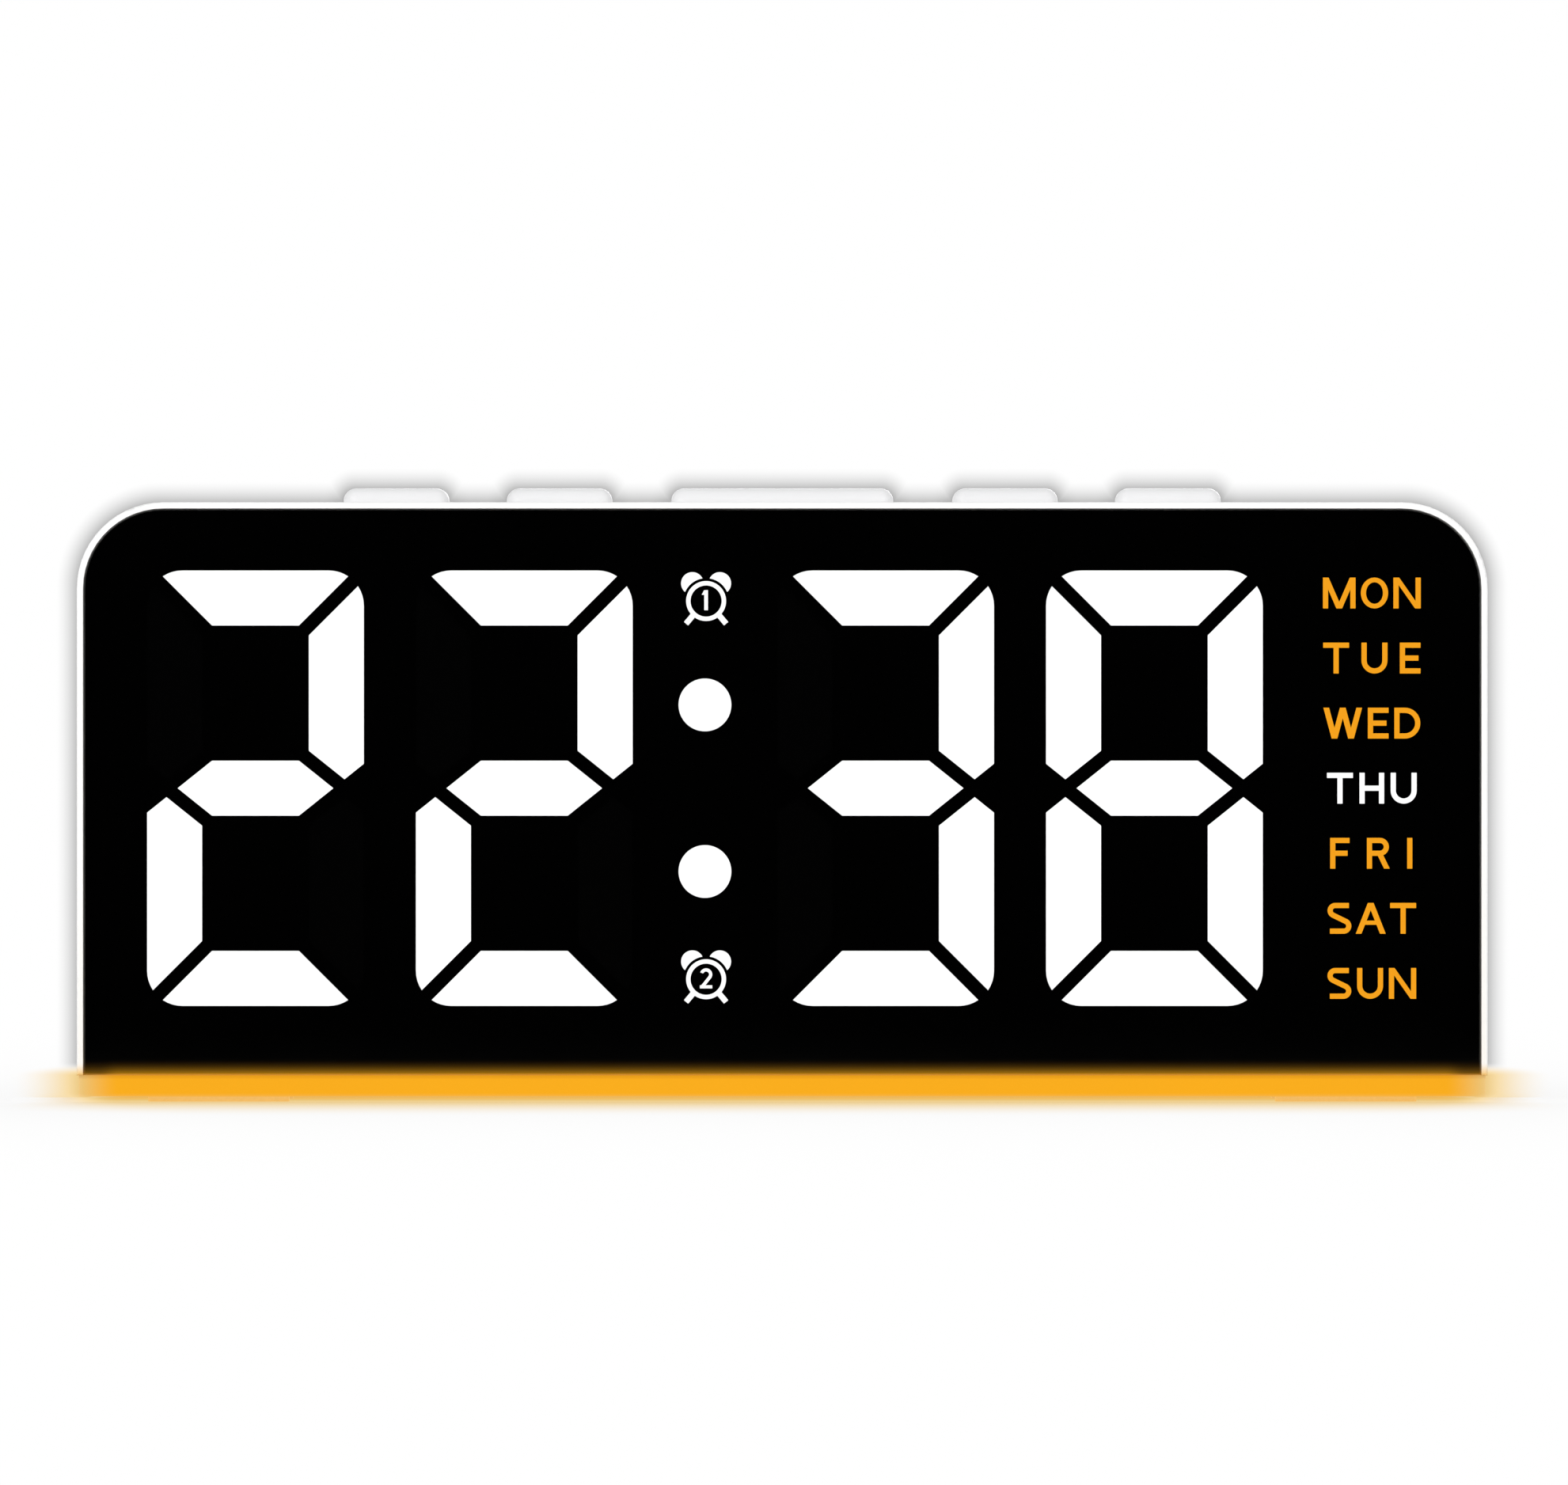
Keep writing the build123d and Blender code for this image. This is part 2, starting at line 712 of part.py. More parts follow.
# Housing: an arched tube with a seat for the lens, slots for the buttons and its bosses
with BuildPart() as case_shell:
    with BuildSketch(upright(front_y)):
        housing_outline(0, base_top)
    extrude(amount=front_y - seam_y)
    fillet(case_shell.faces().sort_by(Axis.Y)[0].edges(), rim_round)
    with BuildSketch(upright(front_y)):
        housing_outline(rim, base_top)
    extrude(amount=front_y - ledge_y, mode=Mode.SUBTRACT)
    with BuildSketch(upright(front_y)):
        housing_outline(wall, inner_bottom)
    extrude(amount=front_y - seam_y, mode=Mode.SUBTRACT)
    for side in (-1, 1):
        with BuildSketch(upright(board_back_y + boss_gap)):
            for z in corner_boss_levels:
                with Locations((side * corner_boss_x, z)):
                    Circle(boss_radius)
                with Locations((side * (corner_boss_x + inner_half + wall / 2) / 2, z)):
                    Rectangle(inner_half + wall / 2 - corner_boss_x, 2 * boss_radius)
        extrude(amount=board_back_y + boss_gap - seam_y)
    with BuildSketch(Plane.XY.offset(key_board_top_z)):
        with Locations(*[(x, button_y) for x in key_post_x]):
            Circle(key_post_radius)
    extrude(amount=inner_top + wall / 2 - key_board_top_z)
    with BuildSketch(Plane.XY.offset(inner_bottom - wall / 2)):
        with Locations(*[(x, base_boss_y) for x in base_boss_x]):
            Circle(base_boss_radius)
    extrude(amount=base_boss_height + wall / 2)
    with BuildSketch(Plane.XY.offset(inner_bottom - wall / 2)):
        for side in (-1, 1):
            with Locations((power_x + side * (power_width / 2 - power_post_inset), power_post_y)):
                Circle(power_post_radius)
    extrude(amount=power_rise + wall / 2)
    with BuildSketch(Plane.XY.offset(inner_top - wall / 2)):
        for x, width in button_columns.values():
            with Locations((x, button_y)):
                RectangleRounded(
                    width + 2 * button_gap, button_depth + 2 * button_gap, button_corner + button_gap,
                )
    extrude(amount=2 * wall, mode=Mode.SUBTRACT)
    with BuildSketch(Plane.XY.offset(base_top - wall / 2)):
        with Locations((strip_tab_x, strip_lead_y)):
            SlotOverall(
                lead_pitch + 2 * (lead_radius + lead_hole_margin), 2 * (lead_radius + lead_hole_margin),
            )
    extrude(amount=2 * wall, mode=Mode.SUBTRACT)
    corner_seats = [facing_back(s * corner_boss_x, seam_y, z)
                    for s in (-1, 1) for z in corner_boss_levels]
    cut_bores(corner_seats, screw_radius + screw_fit, screw_length + 1)
    key_post_seats = [facing_down(x, button_y, key_board_top_z) for x in key_post_x]
    cut_bores(key_post_seats, screw_radius + screw_fit, screw_length)
    base_boss_seats = [facing_down(x, base_boss_y, base_top) for x in base_boss_x]
    cut_bores(base_boss_seats, screw_radius + screw_fit, base_screw_length)
    power_seats = [
        Plane(origin=(power_x + side * (power_width / 2 - power_post_inset), power_post_y, power_bottom_z))
        for side in (-1, 1)
    ]
    cut_bores(power_seats, screw_radius + screw_fit, power_screw_length - board_thickness + screw_fit)
finish(case_shell, "case_shell")


# Front: smoked lens, mask printed on its back, and the tape that holds it on the housing's ledge
with BuildPart() as front_lens:
    with BuildSketch(upright(front_y)):
        housing_outline(lens_inset, lens_bottom)
    extrude(amount=-lens_thickness)
    chamfer(front_lens.faces().sort_by(Axis.Y)[0].edges(), lens_chamfer)
finish(front_lens, "front_lens")

with BuildPart() as mask_print:
    with BuildSketch(upright(print_y)):
        housing_outline(lens_inset + print_margin, lens_bottom + print_margin)
        for windows in (lit_windows, dark_windows, colon_windows, alarm_windows, day_windows):
            add(windows.sketch, mode=Mode.SUBTRACT)
    extrude(amount=-print_thickness)
finish(mask_print, "mask_print")

with BuildPart() as lens_tape:
    with BuildSketch(upright(print_back_y)):
        housing_outline(lens_inset + print_margin, lens_bottom + print_margin)
        housing_outline(wall, inner_bottom, mode=Mode.SUBTRACT)
    extrude(amount=-tape_thickness)
finish(lens_tape, "lens_tape")

# Light fills behind the print, seated in the reflector's wells
fills = {
    "lit_segments": grown(lit_windows.sketch, fill_margin),
    "dark_segments": grown(dark_windows.sketch, fill_margin),
    "colon_fills": grown(colon_windows.sketch, fill_margin),
    "alarm_fills": alarm_cells.sketch,
    "amber_day_films": amber_day_cells.sketch,
    "white_day_film": white_day_cell.sketch,
}
for name, outline in fills.items():
    with BuildPart() as fill:
        with BuildSketch(upright(print_back_y)):
            add(outline)
        extrude(amount=-fill_depth)
    finish(fill, name)

with BuildPart() as reflector_frame:
    with BuildSketch(upright(ledge_y)):
        housing_outline(wall + module_gap, inner_bottom + module_gap)
    extrude(amount=-reflector_depth)
    with BuildSketch(upright(ledge_y)):
        for windows in (lit_windows, dark_windows, colon_windows):
            add(windows.sketch)
        for cells in (alarm_cells, amber_day_cells, white_day_cell):
            add(grown(cells.sketch, -fill_margin))
    extrude(amount=-reflector_depth, mode=Mode.SUBTRACT)
    with BuildSketch(upright(ledge_y)):
        for outline in fills.values():
            add(grown(outline, fill_fit))
    extrude(amount=ledge_y - print_back_y - fill_depth, mode=Mode.SUBTRACT)
    display_seats = [facing_back(x, board_back_y, z) for x in display_screw_x for z in display_screw_z]
    cut_bores(display_seats, screw_radius + screw_fit, display_screw_length + screw_fit)
finish(reflector_frame, "reflector_frame")

# Display board with its light-emitting parts in front and its circuit behind
with BuildPart() as display_board:
    with BuildSketch(upright(board_front_y)):
        housing_outline(wall + board_inset, inner_bottom + board_inset)
        cut_box(-clock_width / 2, clock_width / 2, inner_top - board_top_drop, body_top)
    extrude(amount=-board_thickness)
    cut_bores(display_seats, screw_radius + screw_clearance, board_thickness)
finish(display_board, "display_board")


def middle_of(corners):
    """Mean point of a list of corner points."""
    return (sum(x for x, z in corners) / len(corners), sum(z for x, z in corners) / len(corners))


led_places = [
    (x + middle_of(corners)[0], digit_z + middle_of(corners)[1])
    for x in digit_centres for corners in corners_of.values()
]
led_places += [(colon_x, digit_z - colon_half_pitch), (colon_x, digit_z + colon_half_pitch)]
led_places += [(colon_x, digit_z - alarm_half_pitch), (colon_x, digit_z + alarm_half_pitch)]
led_places += [(day_x, z) for z in day_levels.values()]

with BuildPart() as display_leds:
    with BuildSketch(upright(board_front_y - led_height)):
        with Locations(*led_places):
            Rectangle(led_length, led_width)
    extrude(amount=-led_height)
finish(display_leds, "display_leds")

with BuildPart() as display_screws:
    add_screws(display_seats, display_screw_length)
finish(display_screws, "display_screws")


def chip_on_board(x, z, length, width, height, leg_pitch):
    """Flat chip with two rows of legs, standing on the back of the display board."""
    leg_count = int(length / leg_pitch)
    leg_reach = 1.0
    leg_width = 0.4
    stand_off = 0.15
    with BuildSketch(upright(board_back_y + stand_off)) as body:
        with Locations((x, z)):
            Rectangle(length, width)
    extrude(body.sketch, amount=-(height - stand_off))
    with BuildSketch(upright(board_back_y)) as legs:
        with Locations((x, z)):
            with GridLocations(leg_pitch, 1, leg_count, 1):
                Rectangle(leg_width, width + 2 * leg_reach)
    extrude(legs.sketch, amount=-height / 2)


with BuildPart() as display_driver:
    chip_on_board(driver_x, driver_z, driver_length, driver_width, driver_height, 1.27)
finish(display_driver, "display_driver")

with BuildPart() as clock_chip:
    chip_on_board(chip_x, chip_z, chip_length, chip_width, chip_height, 0.95)
finish(clock_chip, "clock_chip")

with BuildPart() as crystal:
    with BuildSketch(Plane.YZ.offset(crystal_x)):
        with Locations((board_back_y + crystal_radius, chip_z)):
            Circle(crystal_radius)
    extrude(amount=crystal_length / 2, both=True)
    fillet(crystal.edges(), crystal_radius / 5)
finish(crystal, "crystal")

with BuildPart() as board_capacitors:
    with BuildSketch(upright(board_back_y)):
        with Locations((capacitor_x, capacitor_z)):
            with GridLocations(1, capacitor_pitch, 1, 2):
                Circle(capacitor_radius)
    extrude(amount=-capacitor_height)
    fillet(board_capacitors.faces().group_by(Axis.Y)[-1].edges(), capacitor_radius / 8)
finish(board_capacitors, "board_capacitors")

with BuildPart() as board_resistors:
    with BuildSketch(upright(board_back_y)):
        with Locations((resistor_x, resistor_z)):
            with GridLocations(resistor_pitch, resistor_pitch, resistor_count // 2, 2):
                Rectangle(resistor_width, resistor_length)
    extrude(amount=-resistor_height)
finish(board_resistors, "board_resistors")

with BuildPart() as buzzer:
    with BuildSketch(upright(board_back_y)):
        with Locations((buzzer_x, buzzer_z)):
            Circle(buzzer_radius)
    extrude(amount=-buzzer_height)
    fillet(buzzer.faces().sort_by(Axis.Y)[-1].edges(), buzzer_radius / 12)
    with BuildSketch(upright(board_back_y + buzzer_height)):
        with Locations((buzzer_x, buzzer_z)):
            Circle(buzzer_radius / 5)
    extrude(amount=buzzer_height / 4, mode=Mode.SUBTRACT)
finish(buzzer, "buzzer")

# Key board under the top wall, with one switch for each button
key_seats = [facing_down(x, button_y, key_board_bottom_z) for x in key_post_x]

with BuildPart() as key_board:
    with BuildSketch(Plane.XY.offset(key_board_bottom_z)):
        with Locations((0, button_y)):
            RectangleRounded(key_board_length, key_board_width, button_corner)
    extrude(amount=board_thickness)
    cut_bores(key_seats, screw_radius + screw_clearance, board_thickness)
finish(key_board, "key_board")

with BuildPart() as key_screws:
    add_screws(key_seats, screw_length)
finish(key_screws, "key_screws")

with BuildPart() as key_header:
    with BuildSketch(Plane.XY.offset(key_board_top_z)):
        with Locations((key_header_x, board_back_y)):
            Rectangle(key_header_pins * pin_pitch, header_size, align=(Align.CENTER, Align.MIN))
    extrude(amount=header_size)
    chamfer(key_header.edges().filter_by(Axis.Z), header_size / 8)
finish(key_header, "key_header")

with BuildPart() as tact_switches:
    with BuildSketch(Plane.XY.offset(key_board_top_z)):
        for x, width in button_columns.values():
            with Locations((x, button_y)):
                Rectangle(switch_size, switch_size)
    extrude(amount=switch_height)
    with BuildSketch(Plane.XY.offset(switch_top_z)):
        for x, width in button_columns.values():
            with Locations((x, button_y)):
                Circle(plunger_radius + plunger_fit)
    extrude(amount=-(plunger_sunk + button_travel + flange_gap), mode=Mode.SUBTRACT)
finish(tact_switches, "tact_switches")

for name, (x, width) in button_columns.items():
    with BuildPart() as button:
        with BuildSketch(Plane.XY.offset(flange_top_z)):
            with Locations((x, button_y)):
                RectangleRounded(width, button_depth, button_corner)
        extrude(amount=body_top + button_proud - flange_top_z)
        fillet(button.faces().sort_by(Axis.Z)[-1].edges(), button_round)
        with BuildSketch(Plane.XY.offset(flange_bottom_z)):
            with Locations((x, button_y)):
                RectangleRounded(width + 2 * flange_margin, button_depth + 2 * flange_margin, button_corner)
        extrude(amount=flange_thickness)
        with BuildSketch(Plane.XY.offset(plunger_top_z)):
            with Locations((x, button_y)):
                Rectangle(button_post, button_post)
        extrude(amount=button_post_length)
    finish(button, name)

    with BuildPart() as plunger:
        with BuildSketch(Plane.XY.offset(switch_top_z - plunger_sunk)):
            with Locations((x, button_y)):
                Circle(plunger_radius)
        extrude(amount=plunger_proud + plunger_sunk)
    finish(plunger, name.replace("button", "plunger"))

# Rear cover: closing plate with an inner lip, the battery bay and its openings
with BuildPart() as rear_cover:
    with BuildSketch(upright(seam_y)):
        housing_outline(0, base_top)
    extrude(amount=-cover_thickness)
    fillet(rear_cover.faces().sort_by(Axis.Y)[-1].edges(), cover_round)
    with BuildSketch(upright(seam_y - lip_depth)):
        housing_outline(wall + lip_gap, inner_bottom + lip_gap)
        lip_inset = lip_gap + lip_thickness
        housing_outline(wall + lip_inset, inner_bottom + lip_inset, mode=Mode.SUBTRACT)
        for side in (-1, 1):
            for z in corner_boss_levels:
                with Locations((side * inner_half, z)):
                    Rectangle(
                        4 * boss_radius, 2 * (boss_radius + lip_gap), mode=Mode.SUBTRACT,
                    )
    extrude(amount=-lip_depth)
    with BuildSketch(upright(bay_back_y)):
        with Locations((bay_x, bay_z)):
            Rectangle(bay_length + 2 * bay_wall, bay_height + 2 * bay_wall)
    extrude(amount=bay_back_y - seam_y)
    with BuildSketch(upright(bay_floor_y)):
        with Locations((bay_x, bay_z)):
            Rectangle(bay_length, bay_height)
    extrude(amount=bay_floor_y - rear_y, mode=Mode.SUBTRACT)
    with BuildSketch(upright(seam_y)):
        with Locations((bay_x, bay_z)):
            Rectangle(bay_length + 2 * door_ledge, bay_height + 2 * door_ledge)
    extrude(amount=-cover_thickness, mode=Mode.SUBTRACT)
    with BuildSketch(Plane.YZ.offset(bay_x)):
        with Locations((hinge_y, hinge_z)):
            Circle(hinge_pin_radius + hinge_fit)
    extrude(amount=door_width / 2 + hinge_pin_length + door_gap, both=True, mode=Mode.SUBTRACT)
    with BuildSketch(upright(rear_y)):
        with Locations((bay_x, bay_z + bay_height / 2 + door_ledge)):
            Circle(finger_notch_radius)
    extrude(amount=finger_notch_depth, mode=Mode.SUBTRACT)
    with BuildSketch(upright(seam_y)):
        with Locations((buzzer_x, buzzer_z)):
            with GridLocations(1, sound_slot_pitch, 1, sound_slot_count):
                SlotOverall(sound_slot_length, sound_slot_width)
    extrude(amount=-cover_thickness, mode=Mode.SUBTRACT)
    with BuildSketch(upright(seam_y)):
        with Locations((power_x, power_top_z + socket_height / 2)):
            SlotOverall(socket_width + 2 * socket_gap, socket_height + 2 * socket_gap)
    extrude(amount=-cover_thickness, mode=Mode.SUBTRACT)
    cover_seats = [facing_back(s * corner_boss_x, rear_y - counterbore_depth, z)
                   for s in (-1, 1) for z in corner_boss_levels]
    cut_bores(cover_seats, screw_radius + screw_clearance, cover_thickness)
    cut_bores([seat.offset(counterbore_depth) for seat in cover_seats],
              screw_head_radius + counterbore_margin, counterbore_depth)
    for x, z in ((bay_x - bay_length / 2, cell_levels[-1]), (bay_x + bay_length / 2, cell_levels[0])):
        with BuildSketch(upright(bay_back_y)):
            with Locations((x, z)):
                Rectangle(
                    2 * (contact_thickness + contact_slot_gap), contact_tab_width + 2 * contact_slot_gap,
                )
        extrude(amount=-bay_wall, mode=Mode.SUBTRACT)
finish(rear_cover, "rear_cover")

with BuildPart() as cover_screws:
    add_screws(cover_seats, screw_length)
finish(cover_screws, "cover_screws")

with BuildPart() as battery_door:
    with BuildSketch(Plane.YZ.offset(bay_x)):
        with BuildLine():
            CenterArc((hinge_y, hinge_z), door_half, 180, 180)
            Polyline(
                (hinge_y + door_half, hinge_z), (hinge_y + door_half, door_top_z),
                (hinge_y - door_half, door_top_z), (hinge_y - door_half, hinge_z),
            )
        make_face()
    extrude(amount=door_width / 2, both=True)
    with BuildSketch(Plane.YZ.offset(bay_x)):
        with Locations((hinge_y, hinge_z)):
            Circle(hinge_pin_radius)
    extrude(amount=door_width / 2 + hinge_pin_length, both=True)
    with BuildSketch(upright(rear_y)):
        for side in (-1, 1):
            slot_x = bay_x + side * (tongue_width + tongue_slot) / 2
            with Locations((slot_x, door_top_z - tongue_length / 2)):
                Rectangle(tongue_slot, tongue_length)
    extrude(amount=3 * door_half, both=True, mode=Mode.SUBTRACT)
    with BuildSketch(upright(rear_y)):
        with Locations((bay_x, door_top_z - tongue_length / 2)):
            with GridLocations(1, grip_pitch, 1, grip_count):
                SlotOverall(grip_width, grip_breadth)
    extrude(amount=grip_depth, mode=Mode.SUBTRACT)
finish(battery_door, "battery_door")

# Three cells, laid head to tail, and the contacts at both ends of the bay
cell_y = bay_floor_y + cell_gap + cell_radius
for row, z in enumerate(cell_levels):
    heading = 1 if row % 2 == 0 else -1
    start_x = bay_x - heading * cell_length / 2
    with BuildPart() as cell:
        with BuildSketch(Plane(origin=(start_x, cell_y, z), z_dir=(heading, 0, 0))):
            Circle(cell_radius)
        extrude(amount=cell_length - cell_nub_length)
        fillet(cell.edges(), cell_round)
        with BuildSketch(Plane(origin=(start_x, cell_y, z), z_dir=(heading, 0, 0)).offset(cell_length / 2)):
            Circle(cell_nub_radius)
        extrude(amount=cell_length / 2)
    finish(cell, f"battery_cell_{row + 1}")

with BuildPart() as contact_plates:
    for side in (-1, 1):
        end_x = bay_x + side * bay_length / 2
        bridged = cell_levels[:2] if side == -1 else cell_levels[1:]
        single = cell_levels[2] if side == -1 else cell_levels[0]
        with BuildSketch(Plane.YZ.offset(end_x)):
            with Locations((cell_y, sum(bridged) / 2)):
                Rectangle(contact_size, cell_pitch + contact_size)
            with Locations((cell_y, single)):
                Rectangle(contact_size, contact_size)
            with Locations(((cell_y + tab_end_y) / 2, single)):
                Rectangle(cell_y - tab_end_y, contact_tab_width)
        extrude(amount=-side * contact_thickness)
finish(contact_plates, "contact_plates")

with BuildPart() as contact_leaves:
    for side in (-1, 1):
        root_x = bay_x + side * (bay_length / 2 - contact_thickness)
        nose_x = bay_x + side * (cell_length / 2 + leaf_gap)
        skin = side * contact_thickness
        for z in cell_levels:
            with BuildSketch(Plane.XY.offset(z)):
                with BuildLine():
                    Polyline(
                        (root_x, cell_y - leaf_width), (nose_x, cell_y - contact_thickness),
                        (nose_x, cell_y + contact_thickness), (root_x, cell_y + leaf_width),
                        (root_x, cell_y + leaf_width - 2 * contact_thickness), (nose_x + skin, cell_y),
                        (root_x, cell_y - leaf_width + 2 * contact_thickness), close=True,
                    )
                make_face()
            extrude(amount=leaf_width / 2, both=True)
finish(contact_leaves, "contact_leaves")

# Leads that run from the bay's tabs to the display board
lead_plane_y = (tab_end_y + board_back_y) / 2
battery_lead_bend = bend_share * (tab_end_y - lead_plane_y)
for name, side, z in (("battery_lead_plus", 1, cell_levels[0]), ("battery_lead_minus", -1, cell_levels[2])):
    tab_x = bay_x + side * (bay_length - contact_thickness) / 2
    with BuildPart() as lead:
        add_leads([[
            (tab_x, tab_end_y, z),
            (tab_x, lead_plane_y, z),
            (tab_x + battery_lead_run, lead_plane_y, z),
            (tab_x + battery_lead_run, lead_plane_y, z + battery_lead_climb),
            (tab_x + battery_lead_run, board_back_y, z + battery_lead_climb),
        ]], (battery_lead_bend, lead_bend, battery_lead_bend))
    finish(lead, name)

# Power board with its socket, low behind the display
with BuildPart() as power_board:
    with BuildSketch(Plane.XY.offset(power_bottom_z)):
        with Locations((power_x, power_rear_y)):
            Rectangle(power_width, power_length, align=(Align.CENTER, Align.MAX))
    extrude(amount=board_thickness)
    board_seats = [seat.offset(board_thickness) for seat in power_seats]
    cut_bores(board_seats, screw_radius + screw_clearance, board_thickness)
finish(power_board, "power_board")

with BuildPart() as power_screws:
    add_screws(board_seats, power_screw_length)
finish(power_screws, "power_screws")

socket_plane = facing_back(power_x, socket_rear_y, power_top_z + socket_height / 2)
with BuildPart() as power_socket:
    with BuildSketch(socket_plane):
        SlotOverall(socket_width, socket_height)
    extrude(amount=-socket_length)
    with BuildSketch(socket_plane):
        SlotOverall(socket_width - 2 * socket_wall, socket_height - 2 * socket_wall)
    extrude(amount=-(socket_length - socket_wall), mode=Mode.SUBTRACT)
    with BuildSketch(socket_plane.offset(-tongue_plate_margin)):
        Rectangle(tongue_plate_width, tongue_plate_thickness)
    extrude(amount=tongue_plate_margin - socket_length)
finish(power_socket, "power_socket")

with BuildPart() as power_leads:
    for side in (-1, 1):
        x = power_x + side * lead_pitch / 2
        add_leads([[
            (x, power_lead_y, power_top_z),
            (x, power_lead_y, power_top_z + power_lead_rise),
            (x, board_back_y, power_top_z + power_lead_rise),
        ]], lead_bend)
finish(power_leads, "power_leads")

# Light base: a frosted plate that closes the housing below and glows round its edge
with BuildPart() as base_diffuser:
    with BuildSketch(Plane.XY.offset(base_bottom)):
        RectangleRounded(clock_width - 2 * base_inset, clock_depth - 2 * base_inset, base_corner)
    extrude(amount=base_height)
    with BuildSketch(Plane.XY.offset(base_top)):
        with Locations((0, channel_y)):
            Rectangle(clock_width - 2 * channel_margin, channel_width)
        with Locations((strip_tab_x, channel_y)):
            Rectangle(
                strip_tab_width + 2 * strip_gap, strip_tab_reach + strip_gap,
                align=(Align.CENTER, Align.MIN),
            )
    extrude(amount=-channel_depth, mode=Mode.SUBTRACT)
    base_seats = [facing_down(x, base_boss_y, base_bottom + counterbore_depth) for x in base_boss_x]
    cut_bores([seat.offset(counterbore_depth) for seat in base_seats],
              screw_head_radius + counterbore_margin, counterbore_depth)
    cut_bores(base_seats, screw_radius + screw_clearance, base_height)
finish(base_diffuser, "base_diffuser")

with BuildPart() as base_screws:
    add_screws(base_seats, base_screw_length)
finish(base_screws, "base_screws")

strip_length = clock_width - 2 * channel_margin - 2 * strip_gap
with BuildPart() as light_strip_board:
    with BuildSketch(Plane.XY.offset(strip_bottom_z)):
        with Locations((0, channel_y)):
            Rectangle(strip_length, channel_width - 2 * strip_gap)
        with Locations((strip_tab_x, channel_y)):
            Rectangle(strip_tab_width, strip_tab_reach, align=(Align.CENTER, Align.MIN))
    extrude(amount=strip_thickness)
finish(light_strip_board, "light_strip_board")

with BuildPart() as light_strip_leds:
    with BuildSketch(Plane.XY.offset(strip_bottom_z)):
        with Locations((0, channel_y)):
            with GridLocations(strip_led_pitch, 1, int(strip_length / strip_led_pitch), 1):
                Rectangle(strip_led_length, strip_led_width)
    extrude(amount=-strip_led_height)
finish(light_strip_leds, "light_strip_leds")

with BuildPart() as strip_leads:
    for side in (-1, 1):
        x = strip_tab_x + side * lead_pitch / 2
        add_leads([[
            (x, strip_lead_y, strip_bottom_z + strip_thickness),
            (x, strip_lead_y, strip_bottom_z + strip_thickness + strip_lead_rise),
            (x, board_back_y, strip_bottom_z + strip_thickness + strip_lead_rise),
        ]], lead_bend)
finish(strip_leads, "strip_leads")

with BuildPart() as rubber_feet:
    with BuildSketch(Plane.XY):
        for side in (-1, 1):
            for end in (-1, 1):
                with Locations((
                    side * (clock_width / 2 - foot_margin_x - foot_length / 2),
                    end * (clock_depth / 2 - foot_margin_y - foot_width / 2),
                )):
                    RectangleRounded(foot_length, foot_width, foot_width / 5)
    extrude(amount=foot_height)
finish(rubber_feet, "rubber_feet")
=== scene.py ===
import math

import bpy
import numpy as np
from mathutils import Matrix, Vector


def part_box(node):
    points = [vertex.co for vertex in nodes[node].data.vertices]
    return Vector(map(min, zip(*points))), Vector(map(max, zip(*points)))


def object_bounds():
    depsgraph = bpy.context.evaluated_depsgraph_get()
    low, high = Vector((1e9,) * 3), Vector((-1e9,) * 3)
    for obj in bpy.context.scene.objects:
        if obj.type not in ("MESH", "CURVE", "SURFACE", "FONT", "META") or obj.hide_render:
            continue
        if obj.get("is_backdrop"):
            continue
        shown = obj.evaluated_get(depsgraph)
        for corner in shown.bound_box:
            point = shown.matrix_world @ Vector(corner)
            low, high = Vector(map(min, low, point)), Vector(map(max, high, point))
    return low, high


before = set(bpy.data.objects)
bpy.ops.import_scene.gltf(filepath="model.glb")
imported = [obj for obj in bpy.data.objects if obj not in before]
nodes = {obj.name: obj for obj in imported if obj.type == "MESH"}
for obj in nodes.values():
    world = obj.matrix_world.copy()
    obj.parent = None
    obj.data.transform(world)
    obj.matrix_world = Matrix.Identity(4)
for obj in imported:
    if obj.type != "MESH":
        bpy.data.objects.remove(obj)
cad_low, cad_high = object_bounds()

MM = 0.001

# Places that the looks are drawn from, in metres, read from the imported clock
front_y = cad_low.y
rear_y = cad_high.y
case_low, case_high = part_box("case_shell")
case_half = case_high.x
case_top = case_high.z
lens_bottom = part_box("front_lens")[0].z
base_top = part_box("base_diffuser")[1].z
cells = [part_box(f"battery_cell_{row}") for row in (1, 2, 3)]

# Roundings of the housing and of its buttons, and the buttons' hidden flange, as in the part
corner_radius = 9.8 * MM
key_round = 1.4 * MM
key_flange = 1.0 * MM

# Amber light of the base: how far inside the clock's ends it starts to run out and how far it
# goes from there, the height below which it runs out and over how much, and how far the pool
# of it that is painted on the floor reaches ahead of the clock and behind it
glow_turn = 4.9 * MM
glow_side = 12.5 * MM
glow_foot = 1.1 * MM
glow_fall = 2.7 * MM
glow_ahead = 185.0 * MM
glow_behind = 90.0 * MM

# Shares of that light that are gone where it has turned pale, and where it starts to thin out
glow_pale = 0.26
glow_thin = 0.46

# The same light painted on the floor: how much its ends draw in and soften per metre away from
# the clock, and how much less of it is gone behind the clock
glow_draw_in = 0.15
glow_soften = 0.3
glow_rear_gain = 0.17

# Floor: its half width, how far its real shade reaches, how near it comes and how strong it is,
# and how far ahead of the clock reflections start to find it dark and find it black
floor_half = 4.0
shadow_reach = 0.2
shadow_gap = 2.0 * MM
shadow_share = 0.2
card_start = 0.12
card_full = 0.3

# Sheet of painted shade and glow behind the clock: its gap, half width and height
sheet_gap = 0.8 * MM
sheet_half = 90.0 * MM
sheet_top = 80.0 * MM
